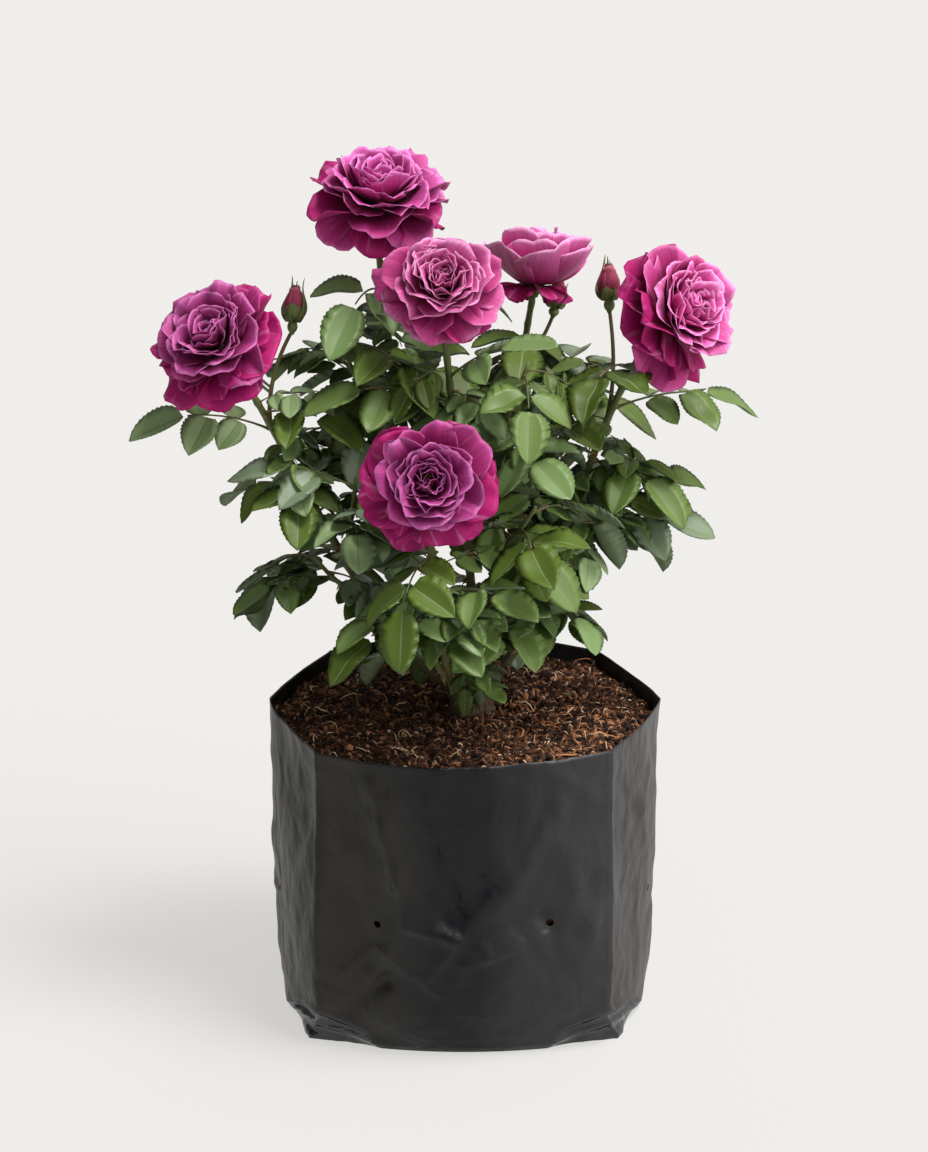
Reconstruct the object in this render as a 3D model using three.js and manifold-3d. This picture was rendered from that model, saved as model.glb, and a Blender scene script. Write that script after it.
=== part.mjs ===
// A rose bush in a black polythene grow bag, in millimetres, +Z up, with the front of the bag
// towards -Y. The origin is the middle of the bag's flat underside, where it stands on the ground.
// Each cane, mass of leaves, bloom and bud is one closed solid of its own. Solids that meet keep
// SEAT between them. Leaves are fused to the stem that carries them, and petals to their stalk.
import * as THREE from "three";
import { mergeVertices } from "three/addons/utils/BufferGeometryUtils.js";
import Module from "manifold-3d";

const wasm = await Module();
wasm.setup();

// Driving dimensions: the clearance between solids that meet, and the film of the bag
const SEAT = 0.3;
const BAG_WALL = 1.0;

// The bag's outline at each height: half its width at the side folds, where its creases lie, and
// half its depth at the middle of a broad face
const BAG_LEVELS = [
  { z: 0, fold: 113, creaseX: 102, creaseY: 79, face: 98 },
  { z: 4, fold: 118, creaseX: 104, creaseY: 81, face: 101 },
  { z: 13, fold: 123, creaseX: 97, creaseY: 83, face: 105 },
  { z: 32, fold: 126, creaseX: 94, creaseY: 93, face: 110 },
  { z: 90, fold: 127.5, creaseX: 95, creaseY: 97, face: 119 },
  { z: 150, fold: 128, creaseX: 94, creaseY: 97, face: 123 },
  { z: 210, fold: 128.5, creaseX: 93, creaseY: 96, face: 125 },
];
const BAG_TOP = 210;
const FACE_STEPS = 6;
const SIDE_BULGE = 4;
const HOLE = { radius: 2.4, sides: 6, punch: 24, faceX: 55, faceZ: 97, sideY: 22, sideZ: 82 };

// The compost: its height at the edge and at the crown, and the bumps in between
const SOIL = { edge: 196, crown: 201, bump: 2.2, rings: 3, seed: 7 };

// The woody foot of the bush: where it stands, and its radius at the ground and at the neck
const FOOT = { x: 4, y: 2, base: 15, neck: 10.5, height: 24, sides: 9, knobs: 0.07 };

// Stems and shoots: their radii and the corners of their section
const CANE = { sides: 6, stepsPerLength: 16 };
const STALK = { radius: 1.9, from: 0.94, sides: 5 };
const SHOOT = { base: 2.2, tip: 1.2, sides: 5, steps: 4, bare: 0.25 };
const BUD_STALK = { base: 1.5, tip: 1.4, sides: 5, steps: 4 };

// Leaflets and the rib that carries them. margin lifts a blade's edges, in widths, belly and droop
// lower its middle and its tip, and joint is half the stretch of the rib that a blade grows from.
const RIB = { length: 56, half: 0.8, joint: 1.1, short: 0.75 };
const LEAFLET = { length: 37, width: 26, thickness: 0.9, splay: 64, dip: 14, tipScale: 1.05 };
const BLADE_FOLD = { margin: 0.06, belly: 0.055, bellyAt: 0.45, droop: 0.12 };
const BLADE_OUTLINE = [
  // share of the length, and of the width to either side
  [0.28, 0.46],
  [0.68, 0.4],
];
const ONE_PAIR = [{ share: 0.56, scale: 0.9 }];
const TWO_PAIRS = [
  { share: 0.4, scale: 0.74 },
  { share: 0.76, scale: 0.92 },
];

// The rule for leaves: the turn from one to the next, the turns tried to either side of it, and
// the space that the crown may fill
const GOLDEN = 137.5;
const TRIES = [0, 20, -20, 40, -40, 60, -60];
const REACH = { x: [-217, 198], y: [-165, 165], z: [206, 578] };

// Petals: five to a whorl, each a lobe with this many points round the whorl's rim
const PETALS = 5;
const PETAL = { thickness: 1.1, lobeSteps: 4, bendSteps: 8, belly: 0.07 };

// Finishes
const finish = (colour, roughness) =>
  new THREE.MeshStandardMaterial({ color: colour, roughness, metalness: 0 });
const POLYTHENE = finish(0x26272b, 0.35);
const COMPOST = finish(0x35201a, 0.95);
const OLD_WOOD = finish(0x5b4a33, 0.8);
const GREEN_WOOD = finish(0x5f6f34, 0.6);
const LEAF_GREEN = finish(0x3c5a2c, 0.55);
const PURPLE = finish(0xa2347f, 0.6);
const BUD_RED = finish(0x86263f, 0.6);

// Vectors, chance and solids
const vec = (x, y, z) => new THREE.Vector3(x, y, z);
const UP = vec(0, 0, 1);
const rad = THREE.MathUtils.degToRad;
const mix = THREE.MathUtils.lerp;

// A repeatable run of numbers from 0 to 1.
function chance(seed) {
  let state = seed >>> 0;
  return () => {
    state = (state + 0x6d2b79f5) >>> 0;
    let t = state;
    t = Math.imul(t ^ (t >>> 15), t | 1);
    t ^= t + Math.imul(t ^ (t >>> 7), t | 61);
    return ((t ^ (t >>> 14)) >>> 0) / 4294967296;
  };
}

function closedGeometry(points, faces) {
  const flat = new Float32Array(points.length * 3);
  points.forEach((p, i) => p.toArray(flat, i * 3));
  return new THREE.BufferGeometry()
    .setAttribute("position", new THREE.BufferAttribute(flat, 3))
    .setIndex(faces);
}

function toSolid(geometry) {
  const bare = geometry.clone();
  bare.deleteAttribute("normal");
  bare.deleteAttribute("uv");
  const merged = mergeVertices(bare, 1e-4);
  return new wasm.Manifold(
    new wasm.Mesh({
      numProp: 3,
      vertProperties: new Float32Array(merged.attributes.position.array),
      triVerts: new Uint32Array(merged.index.array),
    }),
  );
}

function toGeometry(solid) {
  const mesh = solid.getMesh();
  return new THREE.BufferGeometry()
    .setAttribute("position", new THREE.BufferAttribute(new Float32Array(mesh.vertProperties), 3))
    .setIndex(new THREE.BufferAttribute(new Uint32Array(mesh.triVerts), 1));
}

// The largest body of a solid. A scrap cut loose is dropped, and a pocket sealed inside is filled.
function mainBody(solid) {
  return solid.decompose().sort((a, b) => b.volume() - a.volume())[0];
}

const fuse = (solids) => mainBody(wasm.Manifold.union(solids));

// A ring of points at one height, as many as there are sides.
function ringAt(sides, height, radiusAt) {
  return Array.from({ length: sides }, (_, k) => {
    const turn = (2 * Math.PI * k) / sides;
    const radius = radiusAt(turn);
    return vec(radius * Math.cos(turn), radius * Math.sin(turn), height);
  });
}

// A closed skin over a stack of rings that have the same number of points, each end closed by a fan.
function loft(rings) {
  const count = rings[0].length;
  const points = rings.flat();
  const faces = [];
  const at = (ring, i) => ring * count + (i % count);
  for (let ring = 0; ring < rings.length - 1; ring++)
    for (let i = 0; i < count; i++) {
      faces.push(at(ring, i), at(ring, i + 1), at(ring + 1, i + 1));
      faces.push(at(ring, i), at(ring + 1, i + 1), at(ring + 1, i));
    }
  const middle = (ring) =>
    ring.reduce((sum, p) => sum.add(p), vec(0, 0, 0)).divideScalar(count);
  const low = points.push(middle(rings[0])) - 1;
  const high = points.push(middle(rings.at(-1))) - 1;
  for (let i = 0; i < count; i++) {
    faces.push(low, at(0, i + 1), at(0, i));
    faces.push(high, at(rings.length - 1, i), at(rings.length - 1, i + 1));
  }
  return closedGeometry(points, faces);
}

// One tapering limb along a stretch of a curve, from radius r0 to r1.
function limb(curve, from, to, r0, r1, sides, steps) {
  const middles = Array.from({ length: steps + 1 }, (_, i) =>
    curve.getPoint(mix(from, to, i / steps)),
  );
  const frames = new THREE.CatmullRomCurve3(middles).computeFrenetFrames(steps, false);
  return loft(
    middles.map((middle, i) =>
      ringAt(sides, 0, () => mix(r0, r1, i / steps)).map((p) =>
        middle
          .clone()
          .addScaledVector(frames.normals[i], p.x)
          .addScaledVector(frames.binormals[i], p.y),
      ),
    ),
  );
}

// The grow bag: a gusseted polythene sleeve with two broad faces, a fold down the middle of each
// side, creases where faces and sides meet, and tucked corners at the foot. inset draws it inwards.
function bagRing(level, inset) {
  const half = [];
  for (let i = 0; i < FACE_STEPS; i++) {
    const across = mix(-1, 1, i / FACE_STEPS);
    const depth = mix(level.face, level.creaseY, across * across);
    half.push(vec(level.creaseX * across, -depth, level.z));
  }
  const halfway = (level.creaseX + level.fold) / 2 + SIDE_BULGE;
  half.push(vec(level.creaseX, -level.creaseY, level.z));
  half.push(vec(halfway, -level.creaseY / 2, level.z));
  half.push(vec(level.fold, 0, level.z));
  half.push(vec(halfway, level.creaseY / 2, level.z));
  const whole = half.concat(half.map((p) => vec(-p.x, -p.y, p.z)));
  return whole.map((p) => {
    const kept = 1 - inset / Math.hypot(p.x, p.y);
    return vec(p.x * kept, p.y * kept, p.z);
  });
}

function bagLevelAt(z) {
  const found = BAG_LEVELS.findIndex((level) => level.z >= z);
  const above = found < 0 ? BAG_LEVELS.length - 1 : Math.max(found, 1);
  const [a, b] = [BAG_LEVELS[above - 1], BAG_LEVELS[above]];
  const share = (z - a.z) / (b.z - a.z);
  return Object.fromEntries(Object.keys(a).map((key) => [key, mix(a[key], b[key], share)]));
}

// Rings of the bag, drawn in by inset, from one height to another. The inner wall and the compost
// have every height between in common, so the clearance between them is even.
function bagRings(inset, from, to) {
  const levels = [BAG_WALL + SEAT, ...BAG_LEVELS.map((level) => level.z), SOIL.edge];
  const between = levels.filter((z) => z > from && z < to).sort((a, b) => a - b);
  return [from, ...between, to].map((z) => bagRing(bagLevelAt(z), inset));
}

function growBag() {
  const outside = toSolid(loft(BAG_LEVELS.map((level) => bagRing(level, 0))));
  const inside = toSolid(loft(bagRings(BAG_WALL, BAG_WALL, BAG_TOP + BAG_WALL)));
  const holes = [];
  for (const side of [-1, 1])
    for (const face of [-1, 1]) {
      const front = vec(side * HOLE.faceX, face * bagLevelAt(HOLE.faceZ).face, HOLE.faceZ);
      const flank = vec(side * bagLevelAt(HOLE.sideZ).fold, face * HOLE.sideY, HOLE.sideZ);
      holes.push(drainHole(front, vec(0, face, 0)), drainHole(flank, vec(side, 0, 0)));
    }
  return outside.subtract(inside).subtract(wasm.Manifold.union(holes));
}

// A punched hole through one wall of the bag.
function drainHole(place, outward) {
  const punch = new THREE.CylinderGeometry(HOLE.radius, HOLE.radius, HOLE.punch, HOLE.sides);
  punch.applyQuaternion(new THREE.Quaternion().setFromUnitVectors(vec(0, 1, 0), outward));
  punch.translate(place.x, place.y, place.z);
  return toSolid(punch);
}

// The compost fills the bag to just under its rim, heaped a little towards the middle, with a flat
// seat under the foot of the bush.
function soil() {
  const rings = bagRings(BAG_WALL + SEAT * 1.2, BAG_WALL + SEAT, SOIL.edge);
  const rim = rings.at(-1);
  const random = chance(SOIL.seed);
  for (let i = 1; i <= SOIL.rings; i++) {
    const share = i / (SOIL.rings + 1);
    const height = mix(SOIL.edge, SOIL.crown, Math.sin((share * Math.PI) / 2));
    const inner = rim.map((p) => {
      const bump = SOIL.bump * (2 * random() - 1);
      return vec(mix(p.x, FOOT.x, share), mix(p.y, FOOT.y, share), height + bump);
    });
    rings.push(inner);
  }
  const seat = rim.map((p) => {
    const shrink = (FOOT.base * 1.25) / Math.hypot(p.x, p.y);
    return vec(FOOT.x + p.x * shrink, FOOT.y + p.y * shrink, SOIL.crown);
  });
  rings.push(seat);
  return loft(rings);
}

// The woody foot, a short swollen stem that all canes spring from. grow widens it for clearances.
function foot(grow) {
  const ground = SOIL.crown + SEAT;
  const outline = [
    // share of the height, and radius
    [0, FOOT.base],
    [0.25, FOOT.base * 0.86],
    [0.6, FOOT.neck * 1.12],
    [1, FOOT.neck],
  ];
  const rings = outline.map(([share, radius]) => {
    const height = ground + share * FOOT.height + (share === 1 ? grow : 0);
    const knobbly = (turn) => radius * (1 + FOOT.knobs * Math.sin(3 * turn + 2 * share)) + grow;
    return ringAt(FOOT.sides, height, knobbly);
  });
  return loft(rings).translate(FOOT.x, FOOT.y, 0);
}

// Stems. Each runs from the foot of the bush to its bloom as one smooth curve, cut in three: the
// bare cane, a stretch that belongs to its mass of leaves, and the last of the flower's stalk.
// route gives where it leaves the foot, two points that draw it along, and the base of its bloom.
// Leaves grow between the shares bare and leafy of its length.
const STEMS = {
  left: {
    route: [[-4, 2, 212], [-78, 2, 268], [-112, 18, 385], [-153, -18, 450]],
    bare: 0.5,
    leafy: 0.87,
    radius: 3.4,
  },
  top_left: {
    route: [[-2, 8, 218], [-22, 52, 300], [-58, 40, 445], [-54, 20, 527]],
    bare: 0.45,
    leafy: 0.91,
    radius: 3.3,
  },
  centre: {
    route: [[6, -3, 222], [10, -34, 300], [-10, -16, 420], [-14, -32, 485]],
    bare: 0.4,
    leafy: 0.8,
    radius: 3.2,
  },
  front: {
    route: [[0, -8, 212], [-12, -72, 232], [-20, -78, 315], [-22, -94, 381]],
    bare: 0.42,
    leafy: 0.8,
    radius: 2.8,
  },
  right: {
    route: [[12, 4, 212], [70, 22, 268], [74, 22, 395], [130, -7, 469]],
    bare: 0.5,
    leafy: 0.87,
    radius: 3.5,
  },
  back: {
    route: [[9, 9, 220], [26, 66, 300], [34, 70, 410], [47, 54, 480]],
    bare: 0.45,
    leafy: 0.85,
    radius: 3.2,
  },
};

// Blooms: which stem carries each, which way it faces, and how wide it is. reflex bends a bloom's
// outermost petals further back.
const BLOOMS = {
  bloom_left: { stem: "left", facing: [-0.35, -0.65, 0.67], width: 91, reflex: 0, seed: 11 },
  bloom_top_left: { stem: "top_left", facing: [0.08, -0.3, 0.95], width: 92, reflex: 26, seed: 12 },
  bloom_centre: { stem: "centre", facing: [0.03, -0.76, 0.65], width: 85, reflex: 0, seed: 13 },
  bloom_front: { stem: "front", facing: [0.04, -0.93, 0.37], width: 87, reflex: 0, seed: 14 },
  bloom_right: { stem: "right", facing: [0.52, -0.7, 0.48], width: 88, reflex: 0, seed: 15 },
  bloom_back: { stem: "back", facing: [0.12, 0.3, 0.94], width: 72, reflex: -22, seed: 16 },
};

// Buds: each springs from its stem at a share of its length, bends by one point and ends at
// another. sepal is the length of its five sepals.
const BUDS = {
  bud_left: {
    spring: { stem: "left", from: 0.76, bend: [-127, 4, 425], end: [-109, 10, 462] },
    facing: [0.1, 0.05, 1],
    size: { length: 23, width: 15, sepal: 26 },
  },
  bud_right: {
    spring: { stem: "right", from: 0.66, bend: [101, 12, 415], end: [93, 24, 473] },
    facing: [-0.03, 0.02, 1],
    size: { length: 23, width: 16, sepal: 22 },
  },
  bud_back: {
    spring: { stem: "back", from: 0.74, bend: [52, 80, 430], end: [60, 80, 455] },
    facing: [0.2, 0.1, 1],
    size: { length: 18, width: 17, sepal: 18 },
  },
};

// Masses of leaves. Each is the leafy stretch of a stem or, where it has a tip, a side shoot that
// springs from its stem at a share of the stem's length and ends at that point. turn is the compass
// turn of the first leaf, seed starts the rule's chances, and size is under 1 for small leaves.
const MASSES = {
  foliage_left: { stem: "left", leaves: 7, turn: 0, seed: 453 },
  foliage_right: { stem: "right", leaves: 7, turn: 180, seed: 548 },
  foliage_top_left: { stem: "top_left", leaves: 7, turn: 240, seed: 908 },
  foliage_centre: { stem: "centre", leaves: 6, turn: 0, seed: 869 },
  foliage_back: { stem: "back", leaves: 6, turn: 300, seed: 150 },
  foliage_front: { stem: "front", leaves: 5, turn: 60, seed: 987 },
  foliage_low_left: { stem: "left", from: 0.3, tip: [-97, -5, 309], leaves: 4, turn: 60, seed: 321 },
  foliage_low_right: { stem: "right", from: 0.24, tip: [61, -18, 274], leaves: 4, turn: 300, seed: 130 },
  foliage_inner_left: { stem: "left", from: 0.42, tip: [-68, -45, 373], leaves: 4, turn: 120, seed: 786 },
  foliage_inner_right: { stem: "centre", from: 0.32, tip: [45, -53, 357], leaves: 4, turn: 0, seed: 910 },
  foliage_far_right: { stem: "right", from: 0.42, tip: [92, -30, 344], leaves: 4, turn: 300, seed: 647 },
  foliage_upper_left: { stem: "top_left", from: 0.5, tip: [-81, 13, 454], leaves: 4, turn: 240, seed: 49 },
  foliage_middle: { stem: "centre", from: 0.52, tip: [40, -34, 445], leaves: 4, turn: 240, seed: 477 },
  foliage_front_left: { stem: "front", from: 0.24, tip: [-29, -79, 299], leaves: 4, turn: 0, seed: 765 },
  foliage_front_foot: {
    stem: "front", from: 0.12, tip: [7, -44, 256], size: 0.62, leaves: 4, turn: 300, seed: 272,
  },
  foliage_back_left: { stem: "top_left", from: 0.28, tip: [-58, 99, 354], leaves: 4, turn: 240, seed: 13 },
  foliage_back_right: { stem: "back", from: 0.3, tip: [97, 88, 323], leaves: 4, turn: 120, seed: 589 },
  foliage_back_low: { stem: "back", from: 0.14, tip: [16, 93, 257], leaves: 4, turn: 240, seed: 437 },
};

const stemCurves = Object.fromEntries(
  Object.entries(STEMS).map(([name, { route }]) => [
    name,
    new THREE.CubicBezierCurve3(...route.map((place) => vec(...place))),
  ]),
);

const stemRadius = (name, share) => mix(STEMS[name].radius, STALK.radius, share);

// A stretch of a stem. It starts SEAT past the end of the stretch below it.
function stretch(name, from, to, sides, grow) {
  const curve = stemCurves[name];
  const start = from > 0 ? from + SEAT / curve.getLength() : 0;
  const steps = Math.max(3, Math.round((to - from) * CANE.stepsPerLength));
  const [r0, r1] = [stemRadius(name, from) + grow, stemRadius(name, to) + grow];
  return toSolid(limb(curve, start, to, r0, r1, sides, steps));
}

// The bare cane of a stem, and the stretch above it that belongs to its mass of leaves.
const cane = (name, grow) => stretch(name, 0, STEMS[name].bare, CANE.sides, grow);
const leafyStem = (name, grow) => stretch(name, STEMS[name].bare, STALK.from, CANE.sides, grow);

// A side limb, cut clear of the stretch of the stem that it springs from.
function clearOfStem(solid, stem, from) {
  const carrier = from < STEMS[stem].bare ? cane(stem, SEAT) : leafyStem(stem, SEAT);
  return mainBody(solid.subtract(carrier));
}

// One compound leaf: a rib that arches out and droops, with two or one pairs of leaflets and one at
// its tip. The draws are made before any choice, so a leaf that is skipped changes nothing else.
function leafPlan(root, turn, scale, random) {
  return {
    root,
    turn,
    size: scale * mix(0.85, 1.12, random()),
    rise: mix(0, 45, random()),
    droop: mix(20, 70, random()),
    roll: mix(-25, 25, random()),
    pairs: random() < 0.25 ? ONE_PAIR : TWO_PAIRS,
  };
}

function ribCurve(plan, turn) {
  const out = vec(Math.cos(rad(turn)), Math.sin(rad(turn)), 0);
  const half = (RIB.length * plan.size * (plan.pairs === ONE_PAIR ? RIB.short : 1)) / 2;
  const heading = (angle) =>
    out.clone().multiplyScalar(Math.cos(rad(angle))).addScaledVector(UP, Math.sin(rad(angle)));
  const bend = plan.root.clone().addScaledVector(heading(plan.rise), half);
  const end = bend.clone().addScaledVector(heading(plan.rise - plan.droop), half);
  return new THREE.QuadraticBezierCurve3(plan.root, bend, end);
}

// The way a rib runs at one place: along it, across it to the left, and out of its upper side.
function ribFrame(rib, share, roll) {
  const along = rib.getTangent(share);
  const level = vec(0, 0, 0).crossVectors(UP, along).normalize();
  const left = level.applyAxisAngle(along, rad(roll));
  return { along, left, face: vec(0, 0, 0).crossVectors(along, left) };
}

// A leaf is one closed skin. The rib is a square bar, and each blade is a six-sided outline folded
// along its midrib, which grows out of one short stretch of the bar's side, or out of its end.
function compoundLeaf(plan, turn, grow) {
  const rib = ribCurve(plan, turn);
  const joint = RIB.joint / (RIB.length * plan.size);
  const stations = [0, ...plan.pairs.flatMap(({ share }) => [share - joint, share + joint]), 1];
  const points = [];
  const faces = [];
  const point = (p) => points.push(p) - 1;
  const quad = (a, b, c, d) => faces.push(a, b, c, a, c, d);
  const sections = stations.map((share) => {
    const { left, face } = ribFrame(rib, share, plan.roll);
    const half = RIB.half * plan.size + grow;
    const middle = rib.getPoint(share);
    const corner = (side, lift) =>
      point(middle.clone().addScaledVector(left, side * half).addScaledVector(face, lift * half));
    return {
      left: [corner(1, 1), corner(1, -1)],
      right: [corner(-1, 1), corner(-1, -1)],
    };
  });
  for (let k = 0; k + 1 < sections.length; k++) {
    const [a, b] = [sections[k], sections[k + 1]];
    quad(a.left[0], a.right[0], b.right[0], b.left[0]);
    quad(a.right[1], a.left[1], b.left[1], b.right[1]);
    if (k % 2 === 0) {
      quad(a.left[1], a.left[0], b.left[0], b.left[1]);
      quad(a.right[0], a.right[1], b.right[1], b.right[0]);
    }
  }
  const root = sections[0];
  quad(root.left[0], root.left[1], root.right[1], root.right[0]);

  // A fan of faces round one point of an outline or of the blade's middle
  const fan = (middle, outline) => {
    outline.forEach((here, i) => {
      const next = outline[(i + 1) % outline.length];
      if (here !== middle && next !== middle) faces.push(middle, here, next);
    });
  };

  // from and to are the edges of the bar, upper point first, that the blade starts and ends on
  const blade = (share, sideways, scale, from, to) => {
    const { along, face } = ribFrame(rib, share, plan.roll);
    along.applyAxisAngle(face, rad(sideways));
    const across = vec(0, 0, 0).crossVectors(face, along);
    face.applyAxisAngle(across, rad(LEAFLET.dip));
    along.applyAxisAngle(across, rad(LEAFLET.dip));
    const length = LEAFLET.length * plan.size * scale;
    const width = LEAFLET.width * plan.size * scale;
    const place = (forward, side, lift) =>
      rib
        .getPoint(share)
        .addScaledVector(along, forward * length)
        .addScaledVector(across, side * (width + 2 * grow))
        .addScaledVector(face, lift);
    const tip = point(place(1 + grow / length, 0, -BLADE_FOLD.droop * length));
    const margin = (side) => ([forward, out]) =>
      point(place(forward, side * out, BLADE_FOLD.margin * width));
    const outline = [
      ...BLADE_OUTLINE.map(margin(-1)),
      tip,
      ...BLADE_OUTLINE.toReversed().map(margin(1)),
    ];
    const lift = LEAFLET.thickness / 2 + grow - BLADE_FOLD.belly * width;
    fan(point(place(BLADE_FOLD.bellyAt, 0, lift)), [from[0], ...outline, to[0]]);
    fan(tip, [to[1], ...outline.toReversed(), from[1]]);
    faces.push(from[0], from[1], outline[0], to[1], to[0], outline.at(-1));
  };
  plan.pairs.forEach(({ share, scale }, i) => {
    const [near, far] = [sections[1 + 2 * i], sections[2 + 2 * i]];
    blade(share, LEAFLET.splay, scale, far.left, near.left);
    blade(share, -LEAFLET.splay, scale, near.right, far.right);
  });
  blade(1, 0, LEAFLET.tipScale, sections.at(-1).right, sections.at(-1).left);
  return toSolid(closedGeometry(points, faces));
}

// What has been placed so far, each solid with its box, for the test of a new leaf.
const placed = [];
const keep = (owner, solid) => placed.push({ owner, solid, box: solid.boundingBox() });

function apart(a, b) {
  return [0, 1, 2].some((k) => a.min[k] > b.max[k] || a.max[k] < b.min[k]);
}

function isClear(solid, owner) {
  const box = solid.boundingBox();
  return placed.every(
    (other) =>
      other.owner === owner || apart(box, other.box) || solid.intersect(other.solid).isEmpty(),
  );
}

function inReach(solid) {
  const { min, max } = solid.boundingBox();
  return Object.values(REACH).every(([low, high], k) => min[k] > low && max[k] < high);
}

// Leaves along a stem, a turn of the golden angle apart. Each is tried a little to either side of
// its turn, and is skipped where it would touch something or leave the reach of the crown.
function leavesOn(name, curve, from, to) {
  const { leaves, turn, seed, size = 1 } = MASSES[name];
  const random = chance(seed);
  const found = [];
  for (let i = 0; i < leaves; i++) {
    const root = curve.getPoint(mix(from, to, (i + 0.6) / leaves));
    const plan = leafPlan(root, turn + i * GOLDEN, size, random);
    for (const offset of TRIES) {
      const roomy = compoundLeaf(plan, plan.turn + offset, SEAT);
      if (!inReach(roomy) || !isClear(roomy, name)) continue;
      if (found.some((leaf) => !leaf.intersect(roomy).isEmpty())) continue;
      found.push(compoundLeaf(plan, plan.turn + offset, 0));
      break;
    }
  }
  return found;
}

// A bloom is one skin that runs from its hip up and down over every whorl in turn and ends on the
// closed heart. The petals of a whorl are the lobes of its rim. Lengths are shares of the bloom's
// width, root is where a whorl springs from, out and up, and tilt is the angle between a petal and
// the bloom's axis, at its root and at its tip. The hip and the heart are given out and up too.
const WHORLS = [
  { root: [0.1, 0.0], length: 0.41, tilt: [66, 118], notch: 0.3, shift: 0 },
  { root: [0.08, 0.035], length: 0.43, tilt: [78, 34], notch: 0.27, shift: 2 },
  { root: [0.055, 0.075], length: 0.37, tilt: [56, 4], notch: 0.27, shift: 0 },
];
const WHORL_LEVELS = { low: 0.06, middle: 0.5, rim: 1 };
const HIP = [[0.045, -0.12], [0.085, -0.06]];
const HEART = [[0.035, 0.13], [0.1, 0.26], [0.075, 0.38]];

// One ring of a whorl, at a share of the petals' length. side is 1 on the outside and -1 inside.
function whorlRing(whorl, width, reflex, sizes, level, side) {
  const count = PETALS * PETAL.lobeSteps;
  return Array.from({ length: count }, (_, k) => {
    const place = (k + whorl.shift) % count;
    const across = (2 * (place % PETAL.lobeSteps)) / PETAL.lobeSteps - 1;
    const lobe = 1 - across * across;
    const size = 1 + (sizes[Math.floor(place / PETAL.lobeSteps)] - 1) * lobe;
    const share = level * (1 - whorl.notch * (1 - lobe)) * size;
    let [reach, height] = whorl.root;
    let angle = rad(whorl.tilt[0]);
    for (let i = 0; i < PETAL.bendSteps; i++) {
      const way = (share * (i + 0.5)) / PETAL.bendSteps;
      angle = rad(mix(whorl.tilt[0], whorl.tilt[1] + reflex, way));
      reach += (Math.sin(angle) * share * whorl.length) / PETAL.bendSteps;
      height += (Math.cos(angle) * share * whorl.length) / PETAL.bendSteps;
    }
    const out = (side * PETAL.thickness) / 2;
    const radius = reach * width * (1 + PETAL.belly * lobe * level) + Math.cos(angle) * out;
    const turn = (2 * Math.PI * k) / count;
    return vec(
      radius * Math.cos(turn),
      radius * Math.sin(turn),
      height * width - Math.sin(angle) * out,
    );
  });
}

function bloomSkin(width, reflex, random) {
  const plain = ([reach, height]) =>
    ringAt(PETALS * PETAL.lobeSteps, height * width, () => reach * width);
  const { low, middle, rim } = WHORL_LEVELS;
  const rings = HIP.map(plain);
  WHORLS.forEach((whorl, i) => {
    const sizes = Array.from({ length: PETALS }, () => mix(0.9, 1.04, random()));
    const ring = (level, side) => whorlRing(whorl, width, i ? 0 : reflex, sizes, level, side);
    rings.push(ring(middle, 1), ring(rim, 1), ring(rim, -1));
    if (i === 0) rings.push(ring(middle, -1));
    rings.push(ring(low, -1));
  });
  rings.push(...HEART.map(plain));
  return loft(rings).rotateZ(2 * Math.PI * random());
}

// A bloom stands on its stalk.
function bloom(name) {
  const { stem, facing, width, reflex, seed } = BLOOMS[name];
  const stand = new THREE.Quaternion().setFromUnitVectors(UP, vec(...facing).normalize());
  const head = bloomSkin(width, reflex, chance(seed)).applyQuaternion(stand);
  head.translate(...STEMS[stem].route.at(-1));
  return fuse([stretch(stem, STALK.from, 1, STALK.sides, 0), toSolid(head)]);
}

// A bud: a pointed flower, still closed, in a hip with five long sepals that stand off from it, on
// a thin stalk that springs from its stem. The outline is radius and height, in widths and lengths.
const BUD_OUTLINE = [[0, -0.3], [0.22, -0.2], [0.24, -0.08], [0.5, 0.3], [0.36, 0.7], [0, 1]];
const BUD_SIDES = 7;
const SEPAL = { count: 5, radius: 1.4, across: 1.6, flat: 0.7, lean: 24, out: 0.24, down: 0.05 };

function sepal(size, place) {
  const spike = new THREE.ConeGeometry(SEPAL.radius, size.sepal, 3);
  spike.translate(0, size.sepal / 2, 0).rotateX(Math.PI / 2);
  spike.scale(SEPAL.across, SEPAL.flat, 1).rotateX(rad(-SEPAL.lean));
  spike.translate(0, size.width * SEPAL.out, -SEPAL.down * size.length);
  return spike.rotateZ((2 * Math.PI * (place + 0.2)) / SEPAL.count);
}

function bud(name) {
  const { spring, facing, size } = BUDS[name];
  const { stem, from, bend, end } = spring;
  const root = stemCurves[stem].getPoint(from);
  const stalk = new THREE.QuadraticBezierCurve3(root, vec(...bend), vec(...end));
  const stand = new THREE.Quaternion().setFromUnitVectors(UP, vec(...facing).normalize());
  const outline = BUD_OUTLINE.map(([r, h]) => new THREE.Vector2(r * size.width, h * size.length));
  const flower = new THREE.LatheGeometry(outline, BUD_SIDES).rotateX(Math.PI / 2);
  const sepals = Array.from({ length: SEPAL.count }, (_, i) => sepal(size, i));
  const head = [flower, ...sepals].map((shape) =>
    toSolid(shape.applyQuaternion(stand).translate(...end)),
  );
  const { base, tip, sides, steps } = BUD_STALK;
  const whole = fuse([toSolid(limb(stalk, 0, 1, base, tip, sides, steps)), ...head]);
  return clearOfStem(whole, stem, from);
}

// The stem of each mass: its stretch of the main stem, or its side shoot.
function shootCurve({ stem, from, tip }) {
  const root = stemCurves[stem].getPoint(from);
  const end = vec(...tip);
  const bend = vec(mix(root.x, end.x, 0.6), mix(root.y, end.y, 0.6), mix(root.z, end.z, 0.3));
  return new THREE.QuadraticBezierCurve3(root, bend, end);
}

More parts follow.
